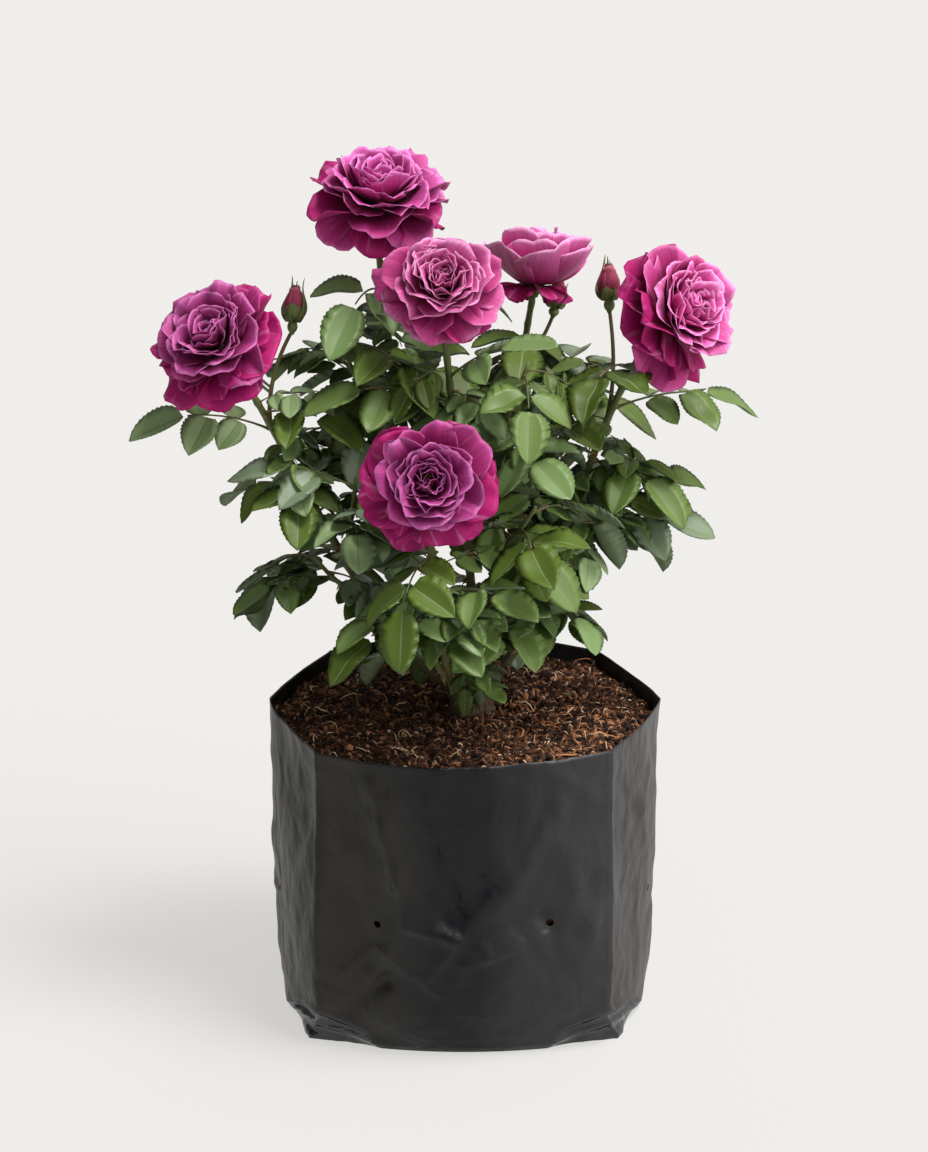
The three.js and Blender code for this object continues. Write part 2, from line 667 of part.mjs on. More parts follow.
function massStem(mass) {
  if (!mass.tip) return leafyStem(mass.stem, 0);
  const shoot = limb(shootCurve(mass), 0, 1, SHOOT.base, SHOOT.tip, SHOOT.sides, SHOOT.steps);
  return clearOfStem(toSolid(shoot), mass.stem, mass.from);
}

// The assembly: what is firm comes first, so that the leaves can keep clear of it.
const bush = new THREE.Group();
bush.name = "rose_bush";

function add(name, solid, material) {
  const mesh = new THREE.Mesh(toGeometry(solid), material);
  mesh.name = name;
  bush.add(mesh);
}

function addFirm(name, solid, material) {
  keep(name, solid);
  add(name, solid, material);
}

addFirm("grow_bag", growBag(), POLYTHENE);
addFirm("soil", toSolid(soil()), COMPOST);
addFirm("woody_foot", toSolid(foot(0)), OLD_WOOD);
const footRoom = toSolid(foot(SEAT));
for (const name of Object.keys(STEMS))
  addFirm(`cane_${name}`, mainBody(cane(name, 0).subtract(footRoom)), GREEN_WOOD);
for (const name of Object.keys(BLOOMS)) addFirm(name, bloom(name), PURPLE);
for (const name of Object.keys(BUDS)) addFirm(name, bud(name), BUD_RED);

const massStems = Object.fromEntries(
  Object.entries(MASSES).map(([name, mass]) => [name, massStem(mass)]),
);
for (const [name, stem] of Object.entries(massStems)) keep(name, stem);

// Leaves, mass by mass
for (const [name, mass] of Object.entries(MASSES)) {
  const { bare, leafy } = STEMS[mass.stem];
  const leaves = mass.tip
    ? leavesOn(name, shootCurve(mass), SHOOT.bare, 1)
    : leavesOn(name, stemCurves[mass.stem], bare, leafy);
  leaves.forEach((leaf) => keep(name, leaf));
  add(name, fuse([massStems[name], ...leaves]), LEAF_GREEN);
}

export default bush;
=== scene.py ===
"""A shrub rose in a black polythene grow bag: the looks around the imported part, in metres."""

import math

import bmesh
import bpy
import numpy as np
from mathutils import Matrix, Vector, noise
from mathutils.kdtree import KDTree


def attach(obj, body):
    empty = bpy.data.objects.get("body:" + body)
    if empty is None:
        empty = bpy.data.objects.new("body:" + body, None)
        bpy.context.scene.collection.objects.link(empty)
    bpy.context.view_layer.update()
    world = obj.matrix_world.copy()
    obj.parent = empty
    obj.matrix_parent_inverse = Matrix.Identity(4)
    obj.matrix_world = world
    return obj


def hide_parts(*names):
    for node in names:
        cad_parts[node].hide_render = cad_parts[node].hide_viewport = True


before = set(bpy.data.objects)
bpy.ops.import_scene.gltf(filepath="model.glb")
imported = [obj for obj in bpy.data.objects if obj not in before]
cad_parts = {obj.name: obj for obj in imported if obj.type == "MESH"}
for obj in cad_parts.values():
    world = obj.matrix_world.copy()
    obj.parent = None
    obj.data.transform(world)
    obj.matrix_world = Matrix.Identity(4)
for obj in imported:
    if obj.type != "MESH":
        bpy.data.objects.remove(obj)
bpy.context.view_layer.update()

# Camera: a long lens in front of the bag, a little above the flowers, looking down at the middle
# of the plant.
AIM, DISTANCE = Vector((0, 0, 0.294)), 1.9
PITCH = math.radians(18)
LENS, SENSOR = 91.1, 36
camera = bpy.data.objects.new("camera", bpy.data.cameras.new("camera"))
camera.data.lens = LENS
camera.data.sensor_width = SENSOR
camera.location = AIM + DISTANCE * Vector((0, -math.cos(PITCH), math.sin(PITCH)))
camera.rotation_euler = (math.radians(90) - PITCH, 0, 0)
bpy.context.scene.collection.objects.link(camera)
bpy.context.scene.camera = camera

# Stage and light: a pale table lit a little from within, as in a studio, so that shadows on it stay
# soft, under a pale sky that gives more light on the right and looks even to the camera. A broad
# lamp stands high on the right and a lower one beside it.
FLOOR_RADIUS = 40
FLOOR_COLOUR, FLOOR_GLOW = (0.17, 0.168, 0.165), 0.580
SKY_LIGHT, SKY_LEAN, SKY_SEEN = 0.50, 0.42, 0.86
LAMPS = {
    # place, softness in degrees, strength and colour
    "key": ((0.75, -0.36, 2.4), 20, 2.90, (1, 0.985, 0.96)),
    "side": ((1.9, -1.1, 1.8), 35, 1.45, (1, 0.985, 0.965)),
}


class Wire:
    """A socket in a material's node tree. Arithmetic on it adds Math nodes."""

    def __init__(self, tree, socket=None):
        self.tree = tree
        self.socket = socket

    def make(self, kind, inputs=(), output=0, **settings):
        node = self.tree.nodes.new("ShaderNode" + kind)
        for key, value in settings.items():
            if key == "stops":
                elements = node.color_ramp.elements
                elements.remove(elements[-1])
                elements[0].position, elements[0].color = value[0][0], (*value[0][1], 1)
                for place, colour in value[1:]:
                    elements.new(place).color = (*colour, 1)
            else:
                setattr(node, key, value)
        for key, value in dict(inputs).items():
            if isinstance(value, Wire):
                self.tree.links.new(value.socket, node.inputs[key])
            else:
                node.inputs[key].default_value = value
        return Wire(self.tree, node.outputs[output])

    def maths(self, operation, a, b=0.0):
        return self.make("Math", {0: a, 1: b}, operation=operation)

    def __add__(self, other):
        return self.maths("ADD", self, other)

    def __sub__(self, other):
        return self.maths("SUBTRACT", self, other)

    def __rsub__(self, other):
        return self.maths("SUBTRACT", other, self)

    def __mul__(self, other):
        return self.maths("MULTIPLY", self, other)

    __radd__ = __add__
    __rmul__ = __mul__

    def ramp(self, *stops):
        return self.make("ValToRGB", {0: self}, stops=stops)

    def mix(self, a, b):
        return self.make("Mix", {0: self, 6: a, 7: b}, 2, data_type="RGBA")

    def level(self, low, high, bottom=0.0, top=1.0):
        return self.make("MapRange", {0: self, 1: low, 2: high, 3: bottom, 4: top})

    def bump(self, strength, distance):
        return self.make("Bump", {"Strength": strength, "Distance": distance, "Height": self})


def rgba(red, green, blue):
    return (red, green, blue, 1)


def finish(name, constants, patterns=None):
    """A material: constants go on the shader's own sockets, and patterns(start) links the rest."""
    material = bpy.data.materials.new(name)
    material.use_nodes = True
    tree = material.node_tree
    shader = tree.nodes["Principled BSDF"]
    for key, value in constants.items():
        shader.inputs[key].default_value = value
    for key, wire in (patterns(Wire(tree)) if patterns else {}).items():
        tree.links.new(wire.socket, shader.inputs[key])
    return material


def grain(start, scale, detail=3.0, rough=0.5, stretch=(1, 1, 1)):
    """Noise on the piece's own coordinates, at so many cells to the metre."""
    place = start.make("TexCoord", output=3)
    spread = start.make("Mapping", {0: place, "Scale": stretch})
    inputs = {"Vector": spread, "Scale": scale, "Detail": detail, "Roughness": rough}
    return start.make("TexNoise", inputs)


floor_mesh = bmesh.new()
bmesh.ops.create_circle(floor_mesh, cap_ends=True, segments=96, radius=FLOOR_RADIUS)
floor_data = bpy.data.meshes.new("floor")
floor_mesh.to_mesh(floor_data)
floor_mesh.free()
floor = bpy.data.objects.new("floor", floor_data)
table_looks = {
    "Base Color": rgba(*FLOOR_COLOUR),
    "Roughness": 0.9,
    "Specular IOR Level": 0.1,
    "Emission Color": rgba(1, 0.985, 0.96),
    "Emission Strength": FLOOR_GLOW,
}
floor_data.materials.append(finish("table", table_looks))
bpy.context.scene.collection.objects.link(floor)

world = bpy.data.worlds.new("sky")
world.use_nodes = True
sky = world.node_tree.nodes["Background"]
sky.inputs["Color"].default_value = rgba(1, 0.995, 0.98)
start = Wire(world.node_tree)
seen = start.make("LightPath")
rightward = start.make("SeparateXYZ", {0: start.make("TexCoord")})
lit = SKY_LIGHT + SKY_LEAN * rightward
world.node_tree.links.new((lit + seen * (SKY_SEEN - lit)).socket, sky.inputs["Strength"])
bpy.context.scene.world = world
bpy.context.scene.view_settings.view_transform = "Standard"

# broad distant lamps, aimed at the plant, so that the floor is evenly lit
for name, (place, softness, power, colour) in LAMPS.items():
    light = bpy.data.objects.new(name, bpy.data.lights.new(name, "SUN"))
    light.data.angle = math.radians(softness)
    light.data.energy = power
    light.data.color = colour
    light.location = place
    light.rotation_euler = (-Vector(place)).to_track_quat("-Z", "Y").to_euler()
    bpy.context.scene.collection.objects.link(light)

# Grow bag: a gusseted sleeve of black polythene film, filled and stood upright. A grid is wrapped
# round the sleeve's outline, wrinkled, punched and closed under the compost, and its film is given
# its thickness. The corners at the foot are tucked under and pulled tight and glossy.
BAG_LEVELS = np.array([
    # height, half width at the side folds, creases in X and in Y, half depth of a broad face
    (0.000, 0.1190, 0.102, 0.079, 0.098),
    (0.004, 0.1225, 0.104, 0.081, 0.101),
    (0.013, 0.1245, 0.097, 0.083, 0.105),
    (0.032, 0.1262, 0.094, 0.093, 0.110),
    (0.090, 0.1275, 0.095, 0.097, 0.119),
    (0.150, 0.1280, 0.094, 0.097, 0.123),
    (0.210, 0.1285, 0.093, 0.096, 0.125),
])
BAG_HEIGHT = BAG_LEVELS[-1, 0]
HALF_WIDTHS = np.array([0.094, 0.103])  # of a broad face and of a side panel with its fold
SIDE_BULGE = 0.004
FILM = 0.0005
HOLE_RADIUS, HOLE_ROOM = 0.0024, 0.008
HOLES = [(0, 0.055, 0.097), (1, 0.022, 0.082)]  # face, distance from its middle, height
BAG_COLUMNS, BAG_ROWS = 272, 104
TUCKED = 2.4  # the least depth, summed over its corners, of a face in the glossy film
MERGE = 2e-6
# wrinkles seen on the front: from, to (across and up), width and height, in metres
FRONT_WRINKLES = [
    ((-0.004, 0.088), (-0.034, 0.096), 0.0045, 0.0011),
    ((-0.004, 0.088), (0.046, 0.106), 0.0055, -0.0007),
    ((-0.004, 0.088), (-0.024, 0.116), 0.0060, -0.0011),
    ((-0.004, 0.088), (0.014, 0.118), 0.0060, 0.0013),
    ((-0.004, 0.088), (-0.020, 0.062), 0.0050, 0.0009),
    ((0.024, 0.122), (0.056, 0.180), 0.0080, 0.0016),
    ((0.010, 0.128), (0.030, 0.200), 0.0100, -0.0012),
    ((-0.060, 0.060), (-0.038, 0.104), 0.0050, 0.0010),
    ((0.060, 0.062), (0.050, 0.100), 0.0060, -0.0010),
    ((-0.056, 0.197), (-0.046, 0.165), 0.0080, 0.0012),
    ((-0.046, 0.165), (-0.038, 0.130), 0.0070, 0.0014),
    ((-0.020, 0.150), (-0.004, 0.118), 0.0080, -0.0013),
    ((-0.070, 0.120), (-0.050, 0.060), 0.0090, -0.0009),
    ((0.066, 0.150), (0.078, 0.100), 0.0080, 0.0010),
]


def bag_outline(turn, z):
    """The sleeve's outline: turn is 0 to 1 over the front, 1 to 2 over the right, and so on."""
    fold, crease_x, crease_y, face = (
        np.interp(z, BAG_LEVELS[:, 0], BAG_LEVELS[:, k]) for k in range(1, 5)
    )
    sign = np.where(turn % 4 < 2, 1.0, -1.0)
    way = turn % 2
    across = 2 * way - 1
    up_the_side = 2 * way - 3
    inwards = 1 - np.abs(up_the_side)
    side_x = crease_x + (fold - crease_x) * inwards + 4 * SIDE_BULGE * inwards * (1 - inwards)
    x = np.where(way < 1, crease_x * across, side_x)
    y = np.where(way < 1, -(face + (crease_y - face) * across**2), crease_y * up_the_side)
    return sign * x, sign * y


def hump(distance, width):
    """A soft hump, 1 at no distance and falling off over a width."""
    return np.exp(-((distance / width) ** 2))


def wrinkle(s, z, start, end, width, height):
    """The height of one wrinkle, steeper on one side, along a line across a face."""
    a, b = np.array(start), np.array(end)
    length = np.linalg.norm(b - a)
    along = (b - a) / length
    forward = np.clip((s - a[0]) * along[0] + (z - a[1]) * along[1], 0, length)
    ds = s - a[0] - forward * along[0]
    dz = z - a[1] - forward * along[1]
    side = np.tanh((ds * along[1] - dz * along[0]) / width * 2)
    return height * hump(np.hypot(ds, dz), width) * (1 + 0.7 * side)


def tuck_edge(s):
    """How high the tucked corner reaches, at a distance from the crease along the face."""
    places = [-0.075, -0.060, -0.033, 0.000, 0.015, 0.030, 0.0385, 0.0445, 0.060]
    reach = [-0.004, 0.006, 0.0175, 0.0245, 0.0205, 0.0148, 0.008, 0.000, -0.02]
    return np.interp(s, places, reach)


def noise_at(points, scale, seed):
    return np.array([noise.noise(Vector(p) * scale + Vector((seed, seed, 0))) for p in points])


def bag_surface(turn, height):
    """Points of the sleeve, and the depth of the corner tuck at each."""
    z = BAG_HEIGHT * height
    x, y = bag_outline(turn, z)
    ahead = bag_outline(turn + 1e-3, z)
    tangent = np.stack([ahead[0] - x, ahead[1] - y], 1)
    tangent /= np.linalg.norm(tangent, axis=1)[:, None]
    normal = np.stack([tangent[:, 1], -tangent[:, 0]], 1)
    # the distance along a face from its middle, and along the sleeve from the nearest crease
    face = np.floor(turn % 4).astype(int)
    half = HALF_WIDTHS[face % 2]
    s = (turn % 1 - 0.5) * 2 * half
    from_crease = np.where(face % 2 == 0, half - np.abs(s), -(half - np.abs(s)))
    level = np.clip(z / 0.02, 0, 1)
    flat = np.stack([x, y, z], 1)
    lift = 0.0016 * noise_at(flat, 17, 3) + 0.0010 * noise_at(flat * (1, 1, 0.55), 38, 8)
    lift += 0.0007 * noise_at(flat * (1, 1, 0.7), 95, 14)
    lift += 0.0030 * noise_at(flat * (1.6, 1.6, 0.7), 13, 22)
    rng = np.random.default_rng(5)
    for k in range(4):
        here = face == k
        wrinkles = list(FRONT_WRINKLES) if k == 0 else []
        for _ in range(22 if k == 0 else 17):
            start = rng.uniform((-0.085, 0.035), (0.085, 0.195))
            swing = rng.uniform(0.3, 2.8)
            reach = rng.uniform(0.02, 0.055)
            end = start + reach * np.array([math.cos(swing), math.sin(swing)])
            size = rng.uniform(0.0030, 0.0075)
            wrinkles.append((start, end, size, rng.choice([-1, 1]) * size * rng.uniform(0.1, 0.19)))
        for start, end, width, tall in wrinkles:
            tall *= 2.3 if k == 0 else 1.1
            lift[here] += wrinkle(s[here], z[here], start, end, 1.25 * width, tall)
    lift *= level * (1 - 0.6 * np.clip((height - 0.85) / 0.15, 0, 1))
    # a raised line of pressed film at each crease, stronger near the rim
    lift += 0.0007 * hump(from_crease, 0.0022) * np.clip(z / 0.04, 0, 1)
    # the tuck: a lip, a step inwards under it, a pulled ridge along its middle and a bunched foot
    top = tuck_edge(from_crease)
    depth = top - z
    tuck = np.clip(depth / 0.0035, 0, 1) * (top > 0.001)
    tuck = tuck * tuck * (3 - 2 * tuck)
    full = np.clip(top / 0.017, 0, 1)
    lift += 0.0012 * hump(depth + 0.0022, 0.0028) * full
    ridge = hump(depth - 0.46 * top, 0.0018) - 0.6 * hump(depth - 0.75 * top, 0.003)
    lift += tuck * full * (-0.0036 + 0.0026 * ridge + 0.0007 * noise_at(flat, 160, 5))
    lift += 0.0030 * (hump(from_crease + 0.006, 0.020) * hump(z, 0.0030))
    rim = np.clip((height - 0.93) / 0.07, 0, 1)
    lift += 0.0012 * rim**2 * np.sin(turn * 5.1 + 1)
    flat[:, :2] += normal * lift[:, None]
    flat[:, 2] -= 0.0014 * rim * (0.5 + 0.5 * np.sin(turn * 4.3 + 0.6))
    return flat, tuck


def flat_grid(columns, n_rows):
    """A smooth grid to wrap, and where its vertices are, from -1 to 1 each way."""
    mesh = bmesh.new()
    bmesh.ops.create_grid(mesh, x_segments=columns, y_segments=n_rows, size=1)
    for face in mesh.faces:
        face.smooth = True
    return mesh, np.array([v.co for v in mesh.verts])


def wrap(mesh, places):
    """The mesh is moved to its places, and the edges that meet there are joined."""
    for vertex, place in zip(mesh.verts, places):
        vertex.co = place
    bmesh.ops.remove_doubles(mesh, verts=mesh.verts, dist=MERGE)


def grown_ring(mesh, edges, place):
    """An open edge drawn out into a ring of faces, with its new vertices where place(co) puts them."""
    grown = bmesh.ops.extrude_edge_only(mesh, edges=edges)["geom"]
    ring = [e for e in grown if isinstance(e, bmesh.types.BMEdge)]
    for vertex in {v for e in ring for v in e.verts}:
        vertex.co = place(vertex.co)
    return ring


bag_mesh, grid = flat_grid(BAG_COLUMNS, BAG_ROWS)
surface, tucks = bag_surface(np.round((grid[:, 0] + 1) * 2, 6), ((grid[:, 1] + 1) / 2) ** 1.25)
tuck_of = dict(zip(bag_mesh.verts, tucks))
for face in bag_mesh.faces:
    if sum(tuck_of[v] for v in face.verts) > TUCKED:
        face.material_index = 1
wrap(bag_mesh, surface)


def faces_near(place, distance):
    return [f for f in bag_mesh.faces if (f.calc_center_median() - place).length < distance]


# Drain holes: the film is cut finer round each, and its edge drawn onto a circle.
for face_number, across, up in HOLES:
    for sign in (-1, 1):
        for flip in (0, 2):
            turn = face_number + flip + 0.5 + sign * across / (2 * HALF_WIDTHS[face_number])
            middle = Vector(bag_surface(np.array([turn]), np.array([up / BAG_HEIGHT]))[0][0])
            edges = list({e for f in faces_near(middle, HOLE_ROOM) for e in f.edges})
            bmesh.ops.subdivide_edges(bag_mesh, edges=edges, cuts=3, use_grid_fill=True)
            bmesh.ops.delete(bag_mesh, geom=faces_near(middle, HOLE_RADIUS), context="FACES")
            for vertex in bag_mesh.verts:
                out = vertex.co - middle
                if vertex.is_boundary and out.length < 2 * HOLE_RADIUS:
                    vertex.co = middle + out.normalized() * HOLE_RADIUS

foot_ring = [e for e in bag_mesh.edges if e.is_boundary and max(v.co.z for v in e.verts) < 0.001]
for shrink in (0.93, 0.5, 0.2):
    foot_ring = grown_ring(bag_mesh, foot_ring, lambda co: Vector((co.x * shrink, co.y * shrink, 0)))
bmesh.ops.edgeloop_fill(bag_mesh, edges=foot_ring)
bmesh.ops.recalc_face_normals(bag_mesh, faces=bag_mesh.faces)


def placed(name, mesh, materials, nodes=()):
    """A finished piece: in the scene, on the one body, and standing for its CAD nodes."""
    if isinstance(mesh, bmesh.types.BMesh):
        data = bpy.data.meshes.new(name)
        mesh.to_mesh(data)
        mesh.free()
    else:
        data = mesh
    for material in materials:
        data.materials.append(material)
    piece = bpy.data.objects.new(name, data)
    bpy.context.scene.collection.objects.link(piece)
    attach(piece, "root")
    if nodes:
        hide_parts(*nodes)
    return piece


def film_patterns(start):
    dust_and_sheen = grain(start, 8, 4, 0.6)
    scuffs = grain(start, 210, 4, 0.65, (1, 1, 0.5))
    creases = grain(start, 42, 3, 0.5, (1, 1, 0.6))
    lines = start.maths("ABSOLUTE", grain(start, 26, 2, 0.5, (1, 1, 0.7)) - 0.5)
    dents = start.maths("ABSOLUTE", grain(start, 75, 2, 0.5) - 0.5)
    across = start.make("SeparateXYZ", {0: start.make("TexCoord", output=3)})
    # painted reflection and some dust: dark and bluish along the middle of a broad face, lighter
    #     # towards the folds and most on the right, where the lamps and brighter sky would shine off the film
    colour = (4 * across + 0.5 + 0.30 * (dust_and_sheen - 0.5)).ramp(
        (0.00, (0.0040, 0.0030, 0.0010)),
        (0.10, (0.0040, 0.0030, 0.0010)),
        (0.15, (0.0170, 0.0155, 0.0130)),
        (0.31, (0.0090, 0.0082, 0.0072)),
        (0.40, (0.0010, 0.0012, 0.0026)),
        (0.55, (0.0016, 0.0020, 0.0040)),
        (0.66, (0.0190, 0.0190, 0.0210)),
        (0.86, (0.0260, 0.0255, 0.0265)),
        (1.00, (0.0340, 0.0320, 0.0300)),
    )
    relief = creases + 1.5 * lines + 0.4 * dents
    rough = 0.20 + 0.40 * dust_and_sheen + 0.06 * scuffs
    return {"Base Color": colour, "Roughness": rough, "Normal": relief.bump(0.85, 0.0035)}


def tuck_patterns(start):
    creases = grain(start, 90, 4, 0.5)
    colour = creases.ramp((0.3, (0.003, 0.0032, 0.006)), (0.75, (0.007, 0.0075, 0.013)))
    return {
        "Base Color": colour,
        "Roughness": 0.06 + 0.10 * creases,
        "Normal": creases.bump(0.4, 0.0012),
    }


polythene = finish("polythene", {"Specular IOR Level": 0.28}, film_patterns)
tight_film = finish("tight_film", {"Specular IOR Level": 0.75}, tuck_patterns)
bag = placed("grow_bag_film", bag_mesh, [polythene, tight_film], ["grow_bag"])
thickness = bag.modifiers.new("film", "SOLIDIFY")
thickness.thickness = FILM
thickness.offset = -1

# Compost: a rough crumbly heap of dark coir and peat up to 14 mm under the rim, with the sides and
# underside that the bag holds. A polar grid is wrapped into the sleeve and roughened.
SOIL_EDGE, SOIL_CROWN = 0.196, 0.201
SOIL_LEVELS = 0.190, 0.150, 0.090, 0.032, 0.013, 0.0016  # of its sides, down to the underside
EDGE_GAP, SIDE_GAP, FIBRE_GAP = 0.0011, 0.009, 0.004  # to the film
SOIL_COLUMNS, SOIL_ROWS = 200, 92
FOOT_PLACE = Vector((0.004, 0.002, 0))


def soil_height(points, share):
    """Height of the heap: lumps of three sizes over a low crown."""
    height = SOIL_EDGE + (SOIL_CROWN - SOIL_EDGE) * np.sin(share * np.pi / 2)
    height = height + 0.0042 * noise_at(points, 28, 2) + 0.0038 * noise_at(points, 75, 6)
    return height + 0.0028 * noise_at(points, 210, 9)


def soil_points(turn, share):
    """Places on the heap: share is 0 at the bag and 1 at the middle of the plant's foot."""
    ring = np.linspace(0, 4, 401)
    film = bag_surface(ring, np.full_like(ring, SOIL_EDGE / BAG_HEIGHT))[0]
    x, y = (np.interp(turn, ring, film[:, k]) for k in range(2))
    reach = 1 - EDGE_GAP / np.hypot(x, y)
    x, y = x * reach, y * reach
    x = x + (FOOT_PLACE.x - x) * share
    y = y + (FOOT_PLACE.y - y) * share
    flat = np.stack([x, y, np.zeros_like(x)], 1)
    flat[:, 2] = soil_height(flat, share)
    return flat


soil_mesh, grid = flat_grid(SOIL_COLUMNS, SOIL_ROWS)
wrap(soil_mesh, soil_points((grid[:, 0] + 1) * 2, (grid[:, 1] + 1) * 0.495))
rings = [e for e in soil_mesh.edges if e.is_boundary]
inner = [e for e in rings if max((v.co - FOOT_PLACE).xy.length for v in e.verts) < 0.02]
bmesh.ops.edgeloop_fill(soil_mesh, edges=inner)
outer = [e for e in rings if e not in inner]


def side_place(co):
    """Straight out from the plant, a little inside the film, at one level of the sides."""
    angle = math.atan2(co.y, co.x)
    best = np.argmin(np.abs(np.angle(np.exp(1j * (np.arctan2(y, x) - angle)))))
    reach = math.hypot(x[best], y[best]) - SIDE_GAP
    return Vector((reach * math.cos(angle), reach * math.sin(angle), level))


for level in SOIL_LEVELS:
    ring = np.linspace(0, 4, 400)
    x, y = bag_outline(ring, np.full_like(ring, level))
    outer = grown_ring(soil_mesh, outer, side_place)
bmesh.ops.edgeloop_fill(soil_mesh, edges=outer)
bmesh.ops.recalc_face_normals(soil_mesh, faces=soil_mesh.faces)


def compost_patterns(start):
    lumps = grain(start, 260, 6, 0.7)
    damp = grain(start, 22, 3, 0.5)
    # the colour follows the bump's noise, near black in its hollows: dark peat, and painted shade in the gaps
    # between lumps
    colour = lumps.ramp(
        (0.41, (0.003, 0.002, 0.002)), (0.50, (0.075, 0.030, 0.016)), (0.60, (0.500, 0.220, 0.105))
    )
    wet = damp.ramp((0.4, (0.55, 0.5, 0.5)), (0.62, (1, 1, 1)))
    inputs = {0: 1.0, 6: colour, 7: wet}
    shaded = start.make("Mix", inputs, 2, data_type="RGBA", blend_type="MULTIPLY")
    return {
        "Base Color": shaded,
        "Roughness": 0.95 - 0.2 * lumps,
        "Normal": lumps.bump(0.9, 0.002),
    }


compost = finish("compost", {"Specular IOR Level": 0.25}, compost_patterns)
placed("compost_heap", soil_mesh, [compost], ["soil"])

# Coir fibres, crumbs and grit on the compost: curled brown and straw-coloured fibres are one piece,
# and peat crumbs with white specks of perlite another. Both are joined from arrays.
FIBRES, CRUMBS, SPECKS = 3400, 2600, 110
FIBRE_COLOURS = {
    "dark_fibre": (0.045, 0.021, 0.012),
    "brown_fibre": (0.150, 0.062, 0.030),
    "red_fibre": (0.500, 0.220, 0.095),
    "straw_fibre": (0.860, 0.640, 0.400),
}
CRUMB_COLOURS = {
    "dark_crumb": (0.020, 0.011, 0.008),
    "brown_crumb": (0.070, 0.032, 0.018),
    "bark_crumb": (0.360, 0.165, 0.080),
    "perlite": (0.62, 0.58, 0.52),
}


def joined(name, batches, smooth=True):
    """One mesh from batches of points, faces that index them, and each face's slot."""
    points, loops, starts, slots = [], [], [], []
    base = corner = 0
    for places, faces, slot in batches:
        places = np.asarray(places, np.float32).reshape(-1, 3)
        faces = np.asarray(faces)
        count = len(faces)
        points.append(places)
        loops.append((faces + base).ravel())
        starts.append(corner + np.arange(count) * faces.shape[1])
        slots.append(np.broadcast_to(slot, (count,)))
        base += len(places)
        corner += faces.size
    points, loops = np.concatenate(points), np.concatenate(loops)
    starts, slots = np.concatenate(starts), np.concatenate(slots)
    data = bpy.data.meshes.new(name)
    data.vertices.add(len(points))
    data.vertices.foreach_set("co", points.ravel())
    data.loops.add(len(loops))
    data.loops.foreach_set("vertex_index", loops.astype(np.int32))
    data.polygons.add(len(starts))
    data.polygons.foreach_set("loop_start", starts.astype(np.int32))
    data.polygons.foreach_set("material_index", slots.astype(np.int32))
    data.polygons.foreach_set("use_smooth", np.full(len(starts), smooth))
    data.update(calc_edges=True)
    data.validate()
    return data


def unit(vectors):
    return vectors / np.maximum(np.linalg.norm(vectors, axis=-1, keepdims=True), 1e-12)


def tubes(paths, radii, sides, slots=0):
    """Closed tubes: paths are n x k x 3, radii n x k, or n x k x sides. Ends close in a point."""
    paths = np.asarray(paths, float)
    count, steps = paths.shape[:2]
    radii = np.asarray(radii, float)
    radii = np.broadcast_to(radii[..., None] if radii.ndim < 3 else radii, (count, steps, sides))
    along = unit(np.gradient(paths, axis=1))
    most = np.argmin(np.abs(along[:, steps // 2]), axis=1)
    normal = unit(np.cross(along, np.eye(3)[most][:, None, :]))
    other = np.cross(along, normal)
    angles = 2 * np.pi * np.arange(sides) / sides
    ring = normal[:, :, None] * np.cos(angles)[:, None] + other[:, :, None] * np.sin(angles)[:, None]
    skin = paths[:, :, None] + ring * radii[..., None]
    ends = paths[:, [0, -1]] + along[:, [0, -1]] * radii[:, [0, -1], :1] * [[[-0.5], [0.5]]]
    points = np.concatenate([skin.reshape(count, -1, 3), ends], 1)
    k = np.arange(sides)
    after = (k + 1) % sides
    row = np.arange(steps - 1)[:, None] * sides
    quads = np.stack([row + k, row + after, row + sides + after, row + sides + k], -1).reshape(-1, 4)
    low = np.stack([np.full(sides, steps * sides), after, k], 1)
    last = (steps - 1) * sides
    high = np.stack([np.full(sides, steps * sides + 1), last + k, last + after], 1)
    shift = (np.arange(count) * points.shape[1])[:, None, None]
    slots = np.broadcast_to(slots, (count,))
    body = (quads[None] + shift).reshape(-1, 4)
    caps = (np.concatenate([low, high])[None] + shift).reshape(-1, 3) - points.size // 3
    # the caps index the points of the batch before them
    return [
        (points, body, np.repeat(slots, len(quads))),
        (np.zeros((0, 3)), caps, np.repeat(slots, 2 * sides)),
    ]


def loose_finishes(colours, looks, cells, detail, relief):
    """Plain finishes with a fine relief, one to each named colour."""
    return [
        finish(
            name,
            {**looks, "Base Color": rgba(*colour)},
            lambda start: {"Normal": grain(start, cells, detail).bump(*relief)},
        )
        for name, colour in colours.items()
    ]


rng = np.random.default_rng(21)
turn = rng.uniform(0, 4, FIBRES)
share = 0.96 * (1 - np.sqrt(rng.uniform(0, 1, FIBRES))) + 0.004
middles = soil_points(turn, share)
length = rng.gamma(2.2, 0.0034, FIBRES).clip(0.003, 0.032)
heading = rng.uniform(0, 2 * np.pi, FIBRES)
curl = rng.normal(0, 1.1, FIBRES) + np.where(rng.uniform(size=FIBRES) < 0.10, 3.2, 0)
steps = np.linspace(-0.5, 0.5, 6)
angle = heading[:, None] + curl[:, None] * steps
walk = np.stack([np.cos(angle), np.sin(angle), np.zeros_like(angle)], -1)
paths = np.cumsum(walk, 1) * (length[:, None, None] / 6)
paths += (middles - paths.mean(1))[:, None]
lie = 0.0009 + rng.uniform(0, 0.0012, FIBRES)[:, None] + rng.normal(0, 0.0016, (FIBRES, 1)) * steps
ground = soil_height(np.where([[1, 1, 0]], paths.reshape(-1, 3), 0), np.repeat(share, 6))
arch = rng.uniform(0, 0.0022, (FIBRES, 1)) * (1 - 4 * steps**2)
paths[..., 2] = ground.reshape(-1, 6) + lie + arch
